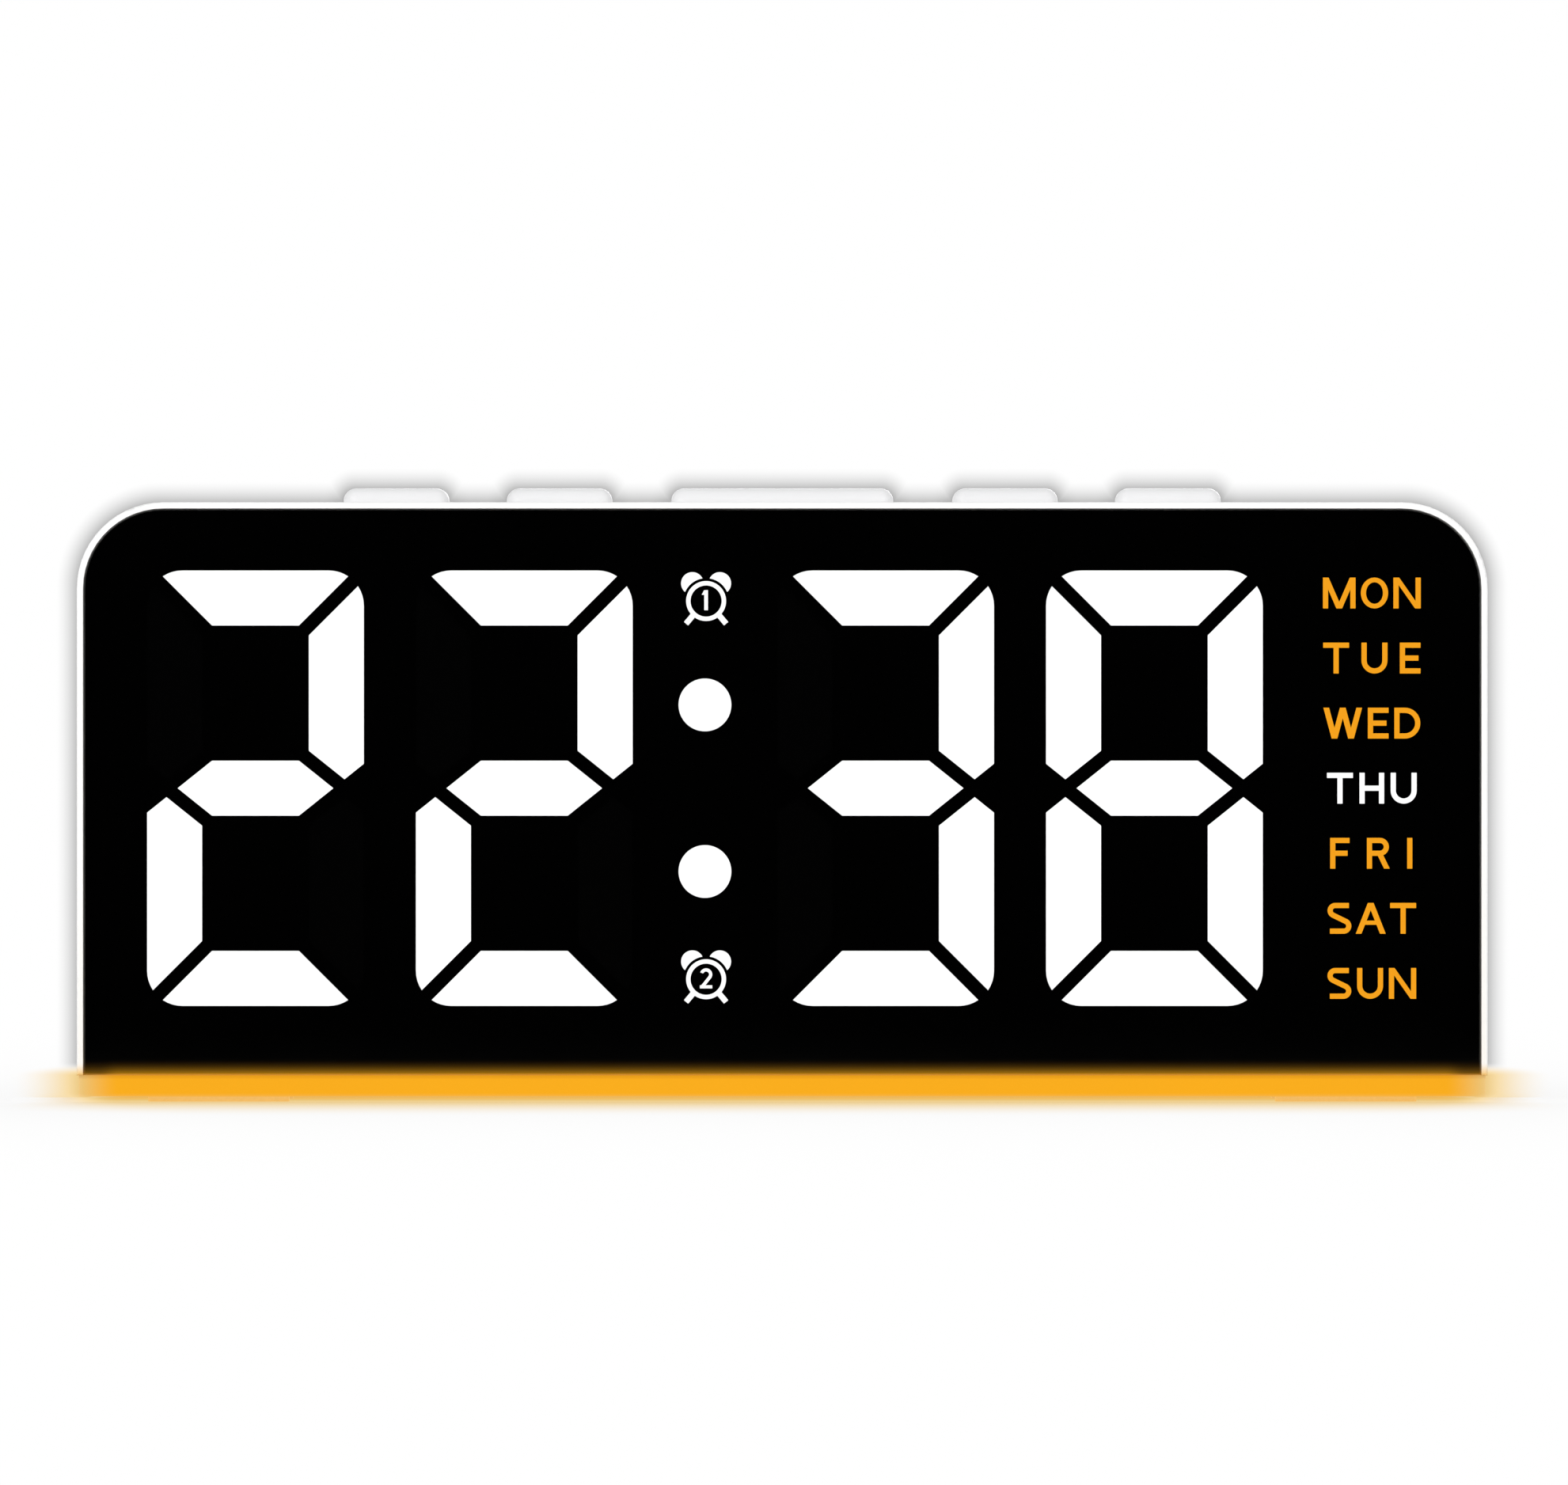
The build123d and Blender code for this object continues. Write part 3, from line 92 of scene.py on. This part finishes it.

# Painted grey shade on it: its width outside an outline and inside it, how it falls off, its
# level, the extra where two shades meet, and the heights between which it sets in above the base
shade_width = 2.4 * MM
shade_inside = 5.0 * MM
shade_fall = 1.5
shade_level = 0.47
shade_meeting = 0.25
shade_foot = 2.9 * MM
shade_foot_end = 4.1 * MM

# Painted amber glow on it: the height above which it runs out and over how much, and how far
# inside the clock's ends it sets in and is full
glow_crown = 2.95 * MM
glow_crown_fall = 1.45 * MM
glow_hidden = 2.0 * MM
glow_shown = 1.0 * MM

# Camera: level, far away, at the height of the picture's middle
view_distance = 2.8
view_width = 177.8 * MM
view_x = 0.2 * MM
view_z = 40.75 * MM
sensor_width = 36.0

# Shader colours that are used in several places
black = (0.0, 0.0, 0.0, 1.0)
white = (1.0, 1.0, 1.0, 1.0)


class Signal:
    """A shader socket that takes part in Python sums; each operation adds a Math node."""

    def __init__(self, paint, socket):
        self.paint = paint
        self.socket = socket

    def math(self, operation, *values):
        return self.paint.node("ShaderNodeMath", {"operation": operation}, dict(enumerate(values)))

    def __add__(self, other):
        return self.math("ADD", self, other)

    def __radd__(self, other):
        return self.math("ADD", other, self)

    def __sub__(self, other):
        return self.math("SUBTRACT", self, other)

    def __rsub__(self, other):
        return self.math("SUBTRACT", other, self)

    def __mul__(self, other):
        return self.math("MULTIPLY", self, other)

    def __rmul__(self, other):
        return self.math("MULTIPLY", other, self)

    def __truediv__(self, other):
        return self.math("DIVIDE", self, other)

    def __rtruediv__(self, other):
        return self.math("DIVIDE", other, self)

    def __pow__(self, other):
        return self.math("POWER", self, other)

    def __neg__(self):
        return self.math("MULTIPLY", self, -1.0)

    def __abs__(self):
        return self.math("ABSOLUTE", self)

    def high(self, other):
        """The larger of the two."""
        return self.math("MAXIMUM", self, other)

    def low(self, other):
        """The smaller of the two."""
        return self.math("MINIMUM", self, other)

    def root(self):
        return self.math("SQRT", self)

    def fade(self, length):
        """1 at nought, falling away over about a length."""
        return self.math("EXPONENT", self * (-1.0 / length))

    def ramp(self, start, end):
        """0 up to start, 1 from end on, and a smooth step between them."""
        return self.paint.node(
            "ShaderNodeMapRange", {"interpolation_type": "SMOOTHSTEP"},
            {"Value": self, "From Min": start, "From Max": end, "To Min": 0.0, "To Max": 1.0},
        )


class Paint:
    """The node tree of one finish. node() adds any node, and surface() ends it in one shader."""

    def __init__(self, owner):
        owner.use_nodes = True
        self.owner = owner
        self.tree = owner.node_tree
        self.tree.nodes.clear()

    def node(self, kind, settings=None, sockets=None, out=0):
        """Add a node, make its settings, then give its sockets their values or links.

        Returns one of its outputs. The setting called stops is a list of a ramp's stops.
        """
        made = self.tree.nodes.new(kind)
        for name, value in (settings or {}).items():
            if name == "stops":
                elements = made.color_ramp.elements
                while len(elements) < len(value):
                    elements.new(0.5)
                for element, (position, colour) in zip(elements, value):
                    element.position = position
                    element.color = colour
            else:
                setattr(made, name, value)
        for name, value in (sockets or {}).items():
            if isinstance(value, Signal):
                self.tree.links.new(value.socket, made.inputs[name])
            else:
                made.inputs[name].default_value = value
        return Signal(self, made.outputs[out]) if made.outputs else None

    def place(self):
        """Object coordinates, which are the clock's own, in metres."""
        return self.node("ShaderNodeTexCoord", out="Object")

    def axes(self, vector):
        """The x, y and z of a vector."""
        split = self.node("ShaderNodeSeparateXYZ", None, {0: vector})
        return [Signal(self, socket) for socket in split.socket.node.outputs]

    def rays(self):
        """Whether a ray comes from the camera, a reflection and within glass, each 0 or 1."""
        names = ("Is Camera Ray", "Is Glossy Ray", "Is Transmission Ray")
        return [self.node("ShaderNodeLightPath", out=name) for name in names]

    def grain(self, scale, detail=3.0, roughness=0.55, vector=None):
        """Cloudy noise from 0 to 1; scale is in waves per metre."""
        return self.node("ShaderNodeTexNoise", None, {
            "Vector": vector or self.place(),
            "Scale": scale, "Detail": detail, "Roughness": roughness,
        })

    def blend(self, share, first, second):
        """A colour between two colours."""
        return self.node(
            "ShaderNodeMix", {"data_type": "RGBA"}, {0: share, 6: first, 7: second}, out=2,
        )

    def spent(self, across, down):
        """Share of the amber light that is gone, from its run-outs along and off the base."""
        return (across ** 2.0 + down ** 2.0).root().ramp(0.0, 1.0)

    def glow(self, spent, end=white):
        """Colour of the amber light: full at nought, then paler and lighter, and its end at 1."""
        return self.node("ShaderNodeValToRGB", {"stops": [
            (0.0, amber_full), (glow_pale, amber_pale), (glow_thin, amber_light), (1.0, end),
        ]}, {"Fac": spent})

    def relief(self, height, depth):
        """Normal of a surface raised by height times depth, in metres."""
        return self.node("ShaderNodeBump", None, {
            "Height": height, "Distance": depth, "Strength": 1.0,
        })

    def finish(self, shader):
        """End the tree in a shader."""
        self.node("ShaderNodeOutputMaterial", None, {"Surface": shader})
        return self.owner

    def surface(self, **sockets):
        """End the tree in one Principled shader; words in the names are joined by _."""
        named = {name.replace("_", " "): value for name, value in sockets.items()}
        return self.finish(self.node("ShaderNodeBsdfPrincipled", None, named))


def new_paint(name):
    return Paint(bpy.data.materials.new(name))


def rgb(red, green, blue):
    """A shader colour, worked out from the 0 to 255 values that it shows on screen."""
    shares = np.array([red, green, blue]) / 255.0
    linear = np.where(shares <= 0.04045, shares / 12.92, ((shares + 0.055) / 1.055) ** 2.4)
    return (*linear.tolist(), 1.0)


amber_full = rgb(249, 174, 24)
amber_pale = rgb(234, 197, 120)
amber_light = rgb(248, 221, 167)


# Finishes

def moulded_plastic(name, colour, shade, roughness, grain_scale, grain_depth, painted_foot_glow=0.0):
    """Opaque moulded plastic: faint flow clouds in the colour, and the fine grain of its mould.

    The last argument paints the amber light of the glowing base into the colour of the lowest
    front edge, which stands over it.
    """
    foot_height = 1.5 * MM
    painted_foot_amber = rgb(243, 206, 136)
    grain_spread = 0.12
    paint = new_paint(name)
    _, y, z = paint.axes(paint.place())
    clouds = paint.grain(scale=45.0, detail=2.0)
    fine = paint.grain(grain_scale, detail=2.0, roughness=0.6)
    # Painted glow of the base on the lowest front edge, fading towards the middle
    above = z.ramp(case_low.z, case_low.z + foot_height)
    painted_foot_mask = (1.0 - above) * (1.0 - y.ramp(front_y, 0.0)) * painted_foot_glow
    body = paint.blend(clouds.ramp(0.35, 0.75), colour, shade)
    return paint.surface(
        Base_Color=paint.blend(painted_foot_mask, body, painted_foot_amber),
        Roughness=roughness + (fine - 0.5) * grain_spread,
        Specular_IOR_Level=0.15,
        Normal=paint.relief(fine, grain_depth),
    )


def smoked_lens(name):
    """Dark glossy sheet; each of its two faces lets half of the light through.

    Painted glow: emission along its bottom stands in for light of the glowing base creeping in
    from below, less of it near the clock's ends.
    """
    creep_height = 2.0 * MM
    creep_fall = 3.6
    painted_creep_amber = (0.54, 0.245, 0.004, 1.0)
    end_loss = 0.5
    end_start = case_half - glow_turn
    end_full = case_half - 2.5 * MM
    paint = new_paint(name)
    x, _, z = paint.axes(paint.place())
    # Painted glow of the base along the lens's bottom edge, less of it near the ends
    painted_creep = (1.0 - (z - lens_bottom) / creep_height).high(0.0) ** creep_fall
    painted_creep = painted_creep * (1.0 - abs(x).ramp(end_start, end_full) * end_loss)
    return paint.surface(
        Base_Color=rgb(1, 1, 1),
        Roughness=0.04 + paint.grain(scale=220.0) * 0.03,
        Specular_IOR_Level=0.25,
        Alpha=0.5,
        Emission_Color=paint.blend(painted_creep, black, painted_creep_amber),
        Emission_Strength=1.0,
    )


def black_print(name):
    """Matt black ink on the back of the lens."""
    paint = new_paint(name)
    fine = paint.grain(scale=900.0)
    return paint.surface(
        Base_Color=paint.blend(fine, rgb(0, 0, 0), rgb(3, 3, 3)),
        Roughness=0.75 + fine * 0.1,
        Specular_IOR_Level=0.02,
    )


def glowing_fill(name, colour, strength, body):
    """Milky fill lit from behind, with faint clouds in its brightness."""
    cloud_share = 0.03
    paint = new_paint(name)
    clouds = paint.grain(scale=140.0, detail=1.0)
    faint, bright = (
        tuple(part * strength * level for part in colour[:3]) + (1.0,)
        for level in (1.0 - cloud_share, 1.0 + cloud_share)
    )
    return paint.surface(
        Base_Color=body,
        Roughness=0.5,
        Specular_IOR_Level=0.1,
        Emission_Color=paint.blend(clouds, faint, bright),
        Emission_Strength=1.0,
    )


def unlit_fill(name):
    """The same fill behind the ink where no lamp is on, as dark as it looks through the lens."""
    paint = new_paint(name)
    fine = paint.grain(scale=500.0)
    return paint.surface(
        Base_Color=paint.blend(fine, rgb(5, 5, 6), rgb(9, 9, 10)),
        Roughness=0.8,
        Specular_IOR_Level=0.1,
    )


def amber_diffuser(name):
    """Amber frosted plastic that is lit all along the front and less and less further back."""
    resin_dark = (0.10, 0.045, 0.004, 1.0)
    resin_pale = (0.12, 0.05, 0.004, 1.0)
    dim_amber = rgb(140, 76, 8)
    back_full = 0.9
    back_dim = 0.75
    bead_dim = 0.04
    brow_height = 0.6 * MM
    brow_dim = 0.3
    paint = new_paint(name)
    x, y, z = paint.axes(paint.place())
    frost = paint.grain(scale=2600.0, detail=2.0)
    beads = paint.grain(scale=70.0, detail=0.0)
    back = ((y - front_y) / (rear_y - front_y)).ramp(0.0, back_full)
    across = (abs(x) - (case_half - glow_turn)).high(0.0) / glow_side
    lit = paint.glow(paint.spent(across, (glow_foot - z).high(0.0) / glow_fall))
    # Painted shade: the glow is dimmed along the top edge, where the housing meets it
    painted_brow_shade = z.ramp(base_top - brow_height, base_top)
    dim = (back * back_dim + beads * bead_dim).high(painted_brow_shade * brow_dim)
    return paint.surface(
        Base_Color=paint.blend(frost, resin_dark, resin_pale),
        Roughness=0.55 + frost * 0.15,
        Specular_IOR_Level=0.05,
        Emission_Color=paint.blend(dim, lit, dim_amber),
        Emission_Strength=0.9,
        Normal=paint.relief(frost, 0.02 * MM),
    )


def circuit_board(name, mask, copper):
    """Glass-fibre board: solder mask over runs of copper, with small tinned pads among them."""
    tin = rgb(205, 205, 200)
    run_share = 0.8
    pad_edge = 0.16
    pad_end = 0.2
    paint = new_paint(name)
    where = paint.place()
    runs = paint.node("ShaderNodeTexBrick", {"offset": 0.37, "squash": 1.0}, {
        "Vector": where, "Scale": 260.0, "Mortar Size": 0.045, "Mortar Smooth": 0.1,
        "Brick Width": 0.9, "Row Height": 0.3,
    }, out="Fac")
    spots = paint.node("ShaderNodeTexVoronoi", None, {
        "Vector": where, "Scale": 420.0, "Randomness": 0.35,
    })
    pads = 1.0 - spots.ramp(pad_edge, pad_end)
    weave = paint.grain(scale=3500.0, detail=1.0)
    ink = paint.blend(runs * run_share, mask, copper)
    return paint.surface(
        Base_Color=paint.blend(pads, ink, tin),
        Metallic=pads * 0.9,
        Roughness=0.42 + weave * 0.1 - pads * 0.15,
        Normal=paint.relief(runs + weave * 0.2, 0.03 * MM),
    )


def chip_body(name):
    """Black moulding compound with a fine grain."""
    paint = new_paint(name)
    fine = paint.grain(scale=3000.0)
    return paint.surface(
        Base_Color=paint.blend(fine, rgb(24, 24, 26), rgb(44, 44, 46)),
        Roughness=0.62 + fine * 0.12,
        Normal=paint.relief(fine, 0.01 * MM),
    )


def drawn_metal(name, colour, roughness, scale, stretch):
    """Bright metal with fine lines, drawn out where stretch differs between the axes."""
    worn_grey = (0.35, 0.34, 0.32, 1.0)
    wear_share = 0.35
    paint = new_paint(name)
    lines_at = paint.node(
        "ShaderNodeMapping", None, {"Vector": paint.place(), "Scale": stretch},
    )
    lines = paint.grain(scale, detail=2.0, roughness=0.5, vector=lines_at)
    wear = paint.grain(scale=120.0)
    return paint.surface(
        Base_Color=paint.blend(wear * wear_share, colour, worn_grey),
        Metallic=1.0,
        Roughness=roughness + lines * 0.12 + wear * 0.08,
        Normal=paint.relief(lines, 0.006 * MM),
    )


def cell_sleeve(name, low, high, heading):
    """Printed sleeve with a pale band at the plus end, and bare steel at both ends.

    heading is 1 where the plus end points to +x and -1 where it points to -x.
    """
    steel_length = 1.6 * MM
    band_length = 11.0 * MM
    print_edge = 0.1 * MM
    scuff_share = 0.12
    paint = new_paint(name)
    x = paint.axes(paint.place())[0]
    from_middle = (x - (low.x + high.x) / 2) * heading
    half = (high.x - low.x) / 2
    steel = abs(from_middle).ramp(half - steel_length, half - (steel_length - print_edge))
    band = from_middle.ramp(half - band_length, half - (band_length - print_edge))
    scuffs = paint.grain(scale=300.0, detail=4.0)
    wrap = paint.blend(band, rgb(58, 92, 128), rgb(226, 228, 226))
    worn = paint.blend(scuffs.ramp(0.6, 0.8) * scuff_share, wrap, rgb(180, 184, 188))
    return paint.surface(
        Base_Color=paint.blend(steel, worn, rgb(206, 204, 200)),
        Metallic=steel,
        Roughness=0.3 + scuffs * 0.12,
    )


def lead_skin(name, colour, dull):
    """Soft wire insulation, a little dulled by handling."""
    dust_share = 0.4
    paint = new_paint(name)
    dust = paint.grain(scale=700.0)
    return paint.surface(
        Base_Color=paint.blend(dust * dust_share, colour, dull),
        Roughness=0.4 + dust * 0.15,
    )


def foot_silicone(name):
    """Clear frosted silicone; its amber colour and its glow are painted light of the base above
    it.
    """
    paint = new_paint(name)
    fine = paint.grain(scale=2200.0, detail=4.0)
    return paint.surface(
        # Painted light: the amber colour and the emission stand in for the base's light in the
        # feet
        Base_Color=paint.blend(fine, rgb(150, 124, 80), rgb(130, 104, 62)),
        Roughness=0.5 + fine * 0.2,
        Emission_Color=paint.blend(fine, rgb(236, 194, 112), rgb(230, 188, 104)),
        Emission_Strength=0.8,
        Normal=paint.relief(fine, 0.02 * MM),
    )


housing_white = moulded_plastic(
    "housing_white", rgb(250, 250, 250), rgb(247, 247, 246),
    roughness=0.5, grain_scale=3400.0, grain_depth=0.01 * MM, painted_foot_glow=1.0,
)
key_white = moulded_plastic(
    "key_white", rgb(238, 238, 239), rgb(235, 235, 236),
    roughness=0.34, grain_scale=4200.0, grain_depth=0.003 * MM,
)
reflector_white = moulded_plastic(
    "reflector_white", rgb(236, 236, 234), rgb(228, 228, 225),
    roughness=0.5, grain_scale=2600.0, grain_depth=0.008 * MM,
)
dark_plastic = moulded_plastic(
    "dark_plastic", rgb(30, 30, 32), rgb(44, 44, 46),
    roughness=0.45, grain_scale=3000.0, grain_depth=0.01 * MM,
)
plunger_plastic = moulded_plastic(
    "plunger_plastic", rgb(58, 58, 60), rgb(70, 70, 72),
    roughness=0.45, grain_scale=3000.0, grain_depth=0.01 * MM,
)
tape_white = moulded_plastic(
    "tape_white", rgb(228, 228, 222), rgb(214, 214, 208),
    roughness=0.7, grain_scale=900.0, grain_depth=0.01 * MM,
)
lens_dark = smoked_lens("lens_dark")
print_black = black_print("print_black")
white_glow = glowing_fill(
    "white_glow", rgb(254, 254, 255), strength=4.1, body=rgb(230, 230, 230),
)
amber_glow = glowing_fill(
    "amber_glow", rgb(246, 163, 30), strength=3.95, body=rgb(90, 50, 4),
)
fill_unlit = unlit_fill("fill_unlit")
base_amber = amber_diffuser("base_amber")
board_green = circuit_board("board_green", rgb(16, 74, 44), rgb(44, 122, 74))
strip_white = circuit_board("strip_white", rgb(226, 226, 220), rgb(206, 202, 190))
lamp_yellow = glowing_fill(
    "lamp_yellow", rgb(255, 236, 190), strength=1.0, body=rgb(240, 228, 170),
)
chip_black = chip_body("chip_black")
can_bright = drawn_metal(
    "can_bright", rgb(214, 214, 212), roughness=0.22, scale=2500.0, stretch=(1.0, 8.0, 1.0),
)
capacitor_can = drawn_metal(
    "capacitor_can", rgb(196, 198, 202), roughness=0.3, scale=1800.0, stretch=(1.0, 0.1, 1.0),
)
spring_metal = drawn_metal(
    "spring_metal", rgb(218, 214, 204), roughness=0.24, scale=2200.0, stretch=(1.0, 1.0, 0.15),
)
screw_steel = drawn_metal(
    "screw_steel", rgb(176, 176, 178), roughness=0.32, scale=2400.0, stretch=(1.0, 1.0, 1.0),
)
lead_red = lead_skin("lead_red", rgb(186, 24, 22), rgb(150, 40, 36))
lead_black = lead_skin("lead_black", rgb(22, 22, 24), rgb(58, 56, 54))
silicone = foot_silicone("silicone")

finish_of = {
    "case_shell": housing_white, "rear_cover": housing_white, "battery_door": housing_white,
    "front_lens": lens_dark, "mask_print": print_black, "lens_tape": tape_white,
    "lit_segments": white_glow, "colon_fills": white_glow, "white_day_film": white_glow,
    "dark_segments": fill_unlit, "alarm_fills": white_glow, "amber_day_films": amber_glow,
    "reflector_frame": reflector_white, "display_board": board_green,
    "key_board": board_green, "power_board": board_green, "light_strip_board": strip_white,
    "display_leds": lamp_yellow, "light_strip_leds": lamp_yellow,
    "display_driver": chip_black, "clock_chip": chip_black, "board_resistors": chip_black,
    "crystal": can_bright, "power_socket": can_bright, "board_capacitors": capacitor_can,
    "buzzer": dark_plastic, "key_header": dark_plastic, "tact_switches": dark_plastic,
    "contact_plates": spring_metal, "contact_leaves": spring_metal,
    "battery_lead_plus": lead_red, "battery_lead_minus": lead_black,
    "power_leads": lead_red, "strip_leads": lead_black,
    "base_diffuser": base_amber, "rubber_feet": silicone,
}
for name in nodes:
    if name.endswith("_screws"):
        finish_of[name] = screw_steel
    elif name.endswith("_button"):
        finish_of[name] = key_white
    elif name.endswith("_plunger"):
        finish_of[name] = plunger_plastic
for row, (low, high) in enumerate(cells, 1):
    finish_of[f"battery_cell_{row}"] = cell_sleeve(
        f"cell_sleeve_{row}", low, high, heading=-1 if row == 2 else 1,
    )

for name, piece in nodes.items():
    piece.data.materials.clear()
    piece.data.materials.append(finish_of[name])


# Floor and the sheet of painted soft shade behind the clock, which aren't part of it

def flat_sheet(name, corners, material):
    """One flat rectangle through four corners."""
    mesh = bpy.data.meshes.new(name)
    mesh.from_pydata(corners, [], [(0, 1, 2, 3)])
    mesh.materials.append(material)
    piece = bpy.data.objects.new(name, mesh)
    bpy.context.scene.collection.objects.link(piece)
    piece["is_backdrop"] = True
    return piece


def floor_finish():
    """White floor with the amber light of its glowing base painted on it, and some real shade near
    the clock.

    Reflections find it dark from a hand's width in front of the clock on, as over a black card.
    """
    paint = new_paint("floor_white")
    x, y, _ = paint.axes(paint.place())
    off_side = (abs(x) - case_half).high(0.0)
    off_front = (front_y - y).high(0.0)
    off_rear = (y - rear_y).high(0.0)
    off_both = off_front + off_rear
    turned = abs(x) - (case_half - glow_turn) + off_both * glow_draw_in
    across = turned.high(0.0) / (off_both * glow_soften + glow_side)
    edge = glow_foot / glow_fall
    down = (off_front / glow_ahead + edge).high(off_rear / glow_behind + edge)
    down = down - y.ramp(front_y, rear_y) * glow_rear_gain
    away = (off_side ** 2.0 + off_front ** 2.0 + off_rear ** 2.0).root()
    shaded = away.fade(shadow_reach) * away.ramp(0.0, shadow_gap)
    # Painted pool of the base's amber light on the floor
    colour = paint.glow(paint.spent(across, down))
    camera_ray, glossy_ray, glass_ray = paint.rays()
    card = paint.blend(glossy_ray * off_front.ramp(card_start, card_full), colour, black)
    bounce = paint.node("ShaderNodeBsdfDiffuse", None, {"Color": card})
    shown = paint.node("ShaderNodeEmission", None, {"Color": card, "Strength": 1.0})
    seen = camera_ray.high(glossy_ray).high(glass_ray)
    return paint.finish(paint.node("ShaderNodeMixShader", None, {
        0: seen * (1.0 - shaded * shadow_share), 1: bounce, 2: shown,
    }))


def shade_finish(shade_y):
    """Painted soft grey shade round the clock and its buttons, and painted amber glow past its
    base's ends.

    The shade falls away with the distance from rounded outlines, which are the clock's front
    edges carried back to this sheet along the lines of sight. From behind the sheet is clear.
    """
    paint = new_paint("soft_shade")
    x, _, z = paint.axes(paint.place())
    across = abs(x)

    def beyond(middle, half, top, radius, depth):
        """How far a spot of the sheet lies outside a rounded outline that stands at a depth."""
        spread = (view_distance + shade_y - front_y) / (view_distance + depth - front_y)
        reach_x = abs(across - middle * spread) - (half * spread - radius)
        reach_z = z - (view_z + (top - view_z) * spread - radius)
        outside = (reach_x.high(0.0) ** 2.0 + reach_z.high(0.0) ** 2.0).root()
        return outside + reach_x.high(reach_z).low(0.0) - radius

    def shade(distance):
        """Level of the grey at a distance outside an outline, which is negative inside it."""
        inside = distance.ramp(-shade_inside, 0.0)
        outside = (1.0 - distance / shade_width).high(0.0).low(1.0) ** shade_fall
        return outside * inside * shade_level

    # Painted grey shade round the outlines of the housing and the buttons
    round_case = shade(beyond(0.0, case_half, case_top, corner_radius, front_y))
    # The buttons stand in mirrored places, so the middle one and those on one side are enough
    round_keys = 0.0
    for name in ("snooze_button", "up_button", "alarm_button"):
        low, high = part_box(name)
        middle = (low.x + high.x) / 2
        half = (high.x - low.x) / 2 - key_flange
        off = beyond(middle, half, high.z, key_round, low.y + key_flange + key_round)
        round_keys = shade(off).high(round_keys)
    grey = round_case.high(round_keys) + round_case.low(round_keys) * shade_meeting
    grey = grey * z.ramp(shade_foot, shade_foot_end)

    # Painted amber glow past the ends of the base
    spread = (view_distance + shade_y - front_y) / view_distance
    flat_x = across / spread
    flat_z = (z - view_z) / spread + view_z
    below = (glow_foot - flat_z).high(0.0) / glow_fall
    above = (flat_z - glow_crown).high(0.0) / glow_crown_fall
    spent = paint.spent((flat_x - (case_half - glow_turn)) / glow_side, below + above)
    amber = 1.0 - (spent - glow_thin).high(0.0) / (1.0 - glow_thin)
    amber = amber * flat_x.ramp(case_half - glow_hidden, case_half - glow_shown)

    cover = 1.0 - (1.0 - grey) * (1.0 - amber)
    amber_share = amber / cover.high(0.001)
    colour = paint.blend(amber_share, black, paint.glow(spent, end=amber_light))
    ahead = 1.0 - paint.node("ShaderNodeNewGeometry", out="Backfacing")
    return paint.finish(paint.node("ShaderNodeMixShader", None, {
        0: cover * ahead,
        1: paint.node("ShaderNodeBsdfTransparent"),
        2: paint.node("ShaderNodeEmission", None, {"Color": colour, "Strength": 1.0}),
    }))


flat_sheet(
    "floor",
    [(x * floor_half, y * floor_half, 0.0) for x, y in ((-1, -1), (1, -1), (1, 1), (-1, 1))],
    floor_finish(),
)

shade_y = rear_y + sheet_gap
shade_sheet = flat_sheet(
    "soft_shade",
    [(x * sheet_half, shade_y, z * sheet_top) for x, z in ((-1, 0), (1, 0), (1, 1), (-1, 1))],
    shade_finish(shade_y),
)
shade_sheet.visible_diffuse = False
shade_sheet.visible_glossy = False
shade_sheet.visible_transmission = False
shade_sheet.visible_shadow = False


# Light, world and camera

def soft_box(name, place, width, height, watts):
    """Rectangular lamp that looks at the middle of the clock."""
    middle = Vector((0.0, 0.0, 0.035))
    lamp = bpy.data.lights.new(name, "AREA")
    lamp.shape = "RECTANGLE"
    lamp.size = width
    lamp.size_y = height
    lamp.energy = watts
    piece = bpy.data.objects.new(name, lamp)
    bpy.context.scene.collection.objects.link(piece)
    piece.location = place
    towards = middle - Vector(place)
    piece.rotation_euler = towards.to_track_quat("-Z", "Y").to_euler()


soft_box("soft_box_left", (-0.75, -1.1, 0.45), width=0.9, height=0.7, watts=8.2)
soft_box("soft_box_right", (0.95, -0.9, 0.48), width=0.7, height=0.7, watts=4.9)
soft_box("soft_box_rear", (0.3, 1.2, 0.45), width=0.8, height=0.6, watts=4.0)

# World: white to the camera, plain soft light on the clock, and for reflections a dark room
# straight ahead of the clock's front
room_light = 0.5
dark_start = 0.8
dark_full = 0.96
world = bpy.data.worlds.new("studio")
bpy.context.scene.world = world
sky = Paint(world)
towards_front = -sky.axes(sky.node("ShaderNodeTexCoord", out="Generated"))[1]
camera_ray, glossy_ray, glass_ray = sky.rays()
dark_room = towards_front.ramp(dark_start, dark_full)
shown_white = camera_ray.high(glass_ray).high(glossy_ray * (1.0 - dark_room))
diffuse_level = room_light * (1.0 - glossy_ray)
sky.node("ShaderNodeOutputWorld", None, {
    "Surface": sky.node("ShaderNodeBackground", None, {
        "Color": white, "Strength": shown_white.high(diffuse_level),
    }),
})

camera = bpy.data.cameras.new("camera")
camera.sensor_width = sensor_width
camera.lens = sensor_width * view_distance / view_width
camera.clip_start = 0.1
camera.clip_end = 20.0
camera_piece = bpy.data.objects.new("camera", camera)
bpy.context.scene.collection.objects.link(camera_piece)
camera_piece.location = (view_x, front_y - view_distance, view_z)
camera_piece.rotation_euler = (math.radians(90.0), 0.0, 0.0)
bpy.context.scene.camera = camera_piece
bpy.context.scene.view_settings.view_transform = "Standard"

low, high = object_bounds()
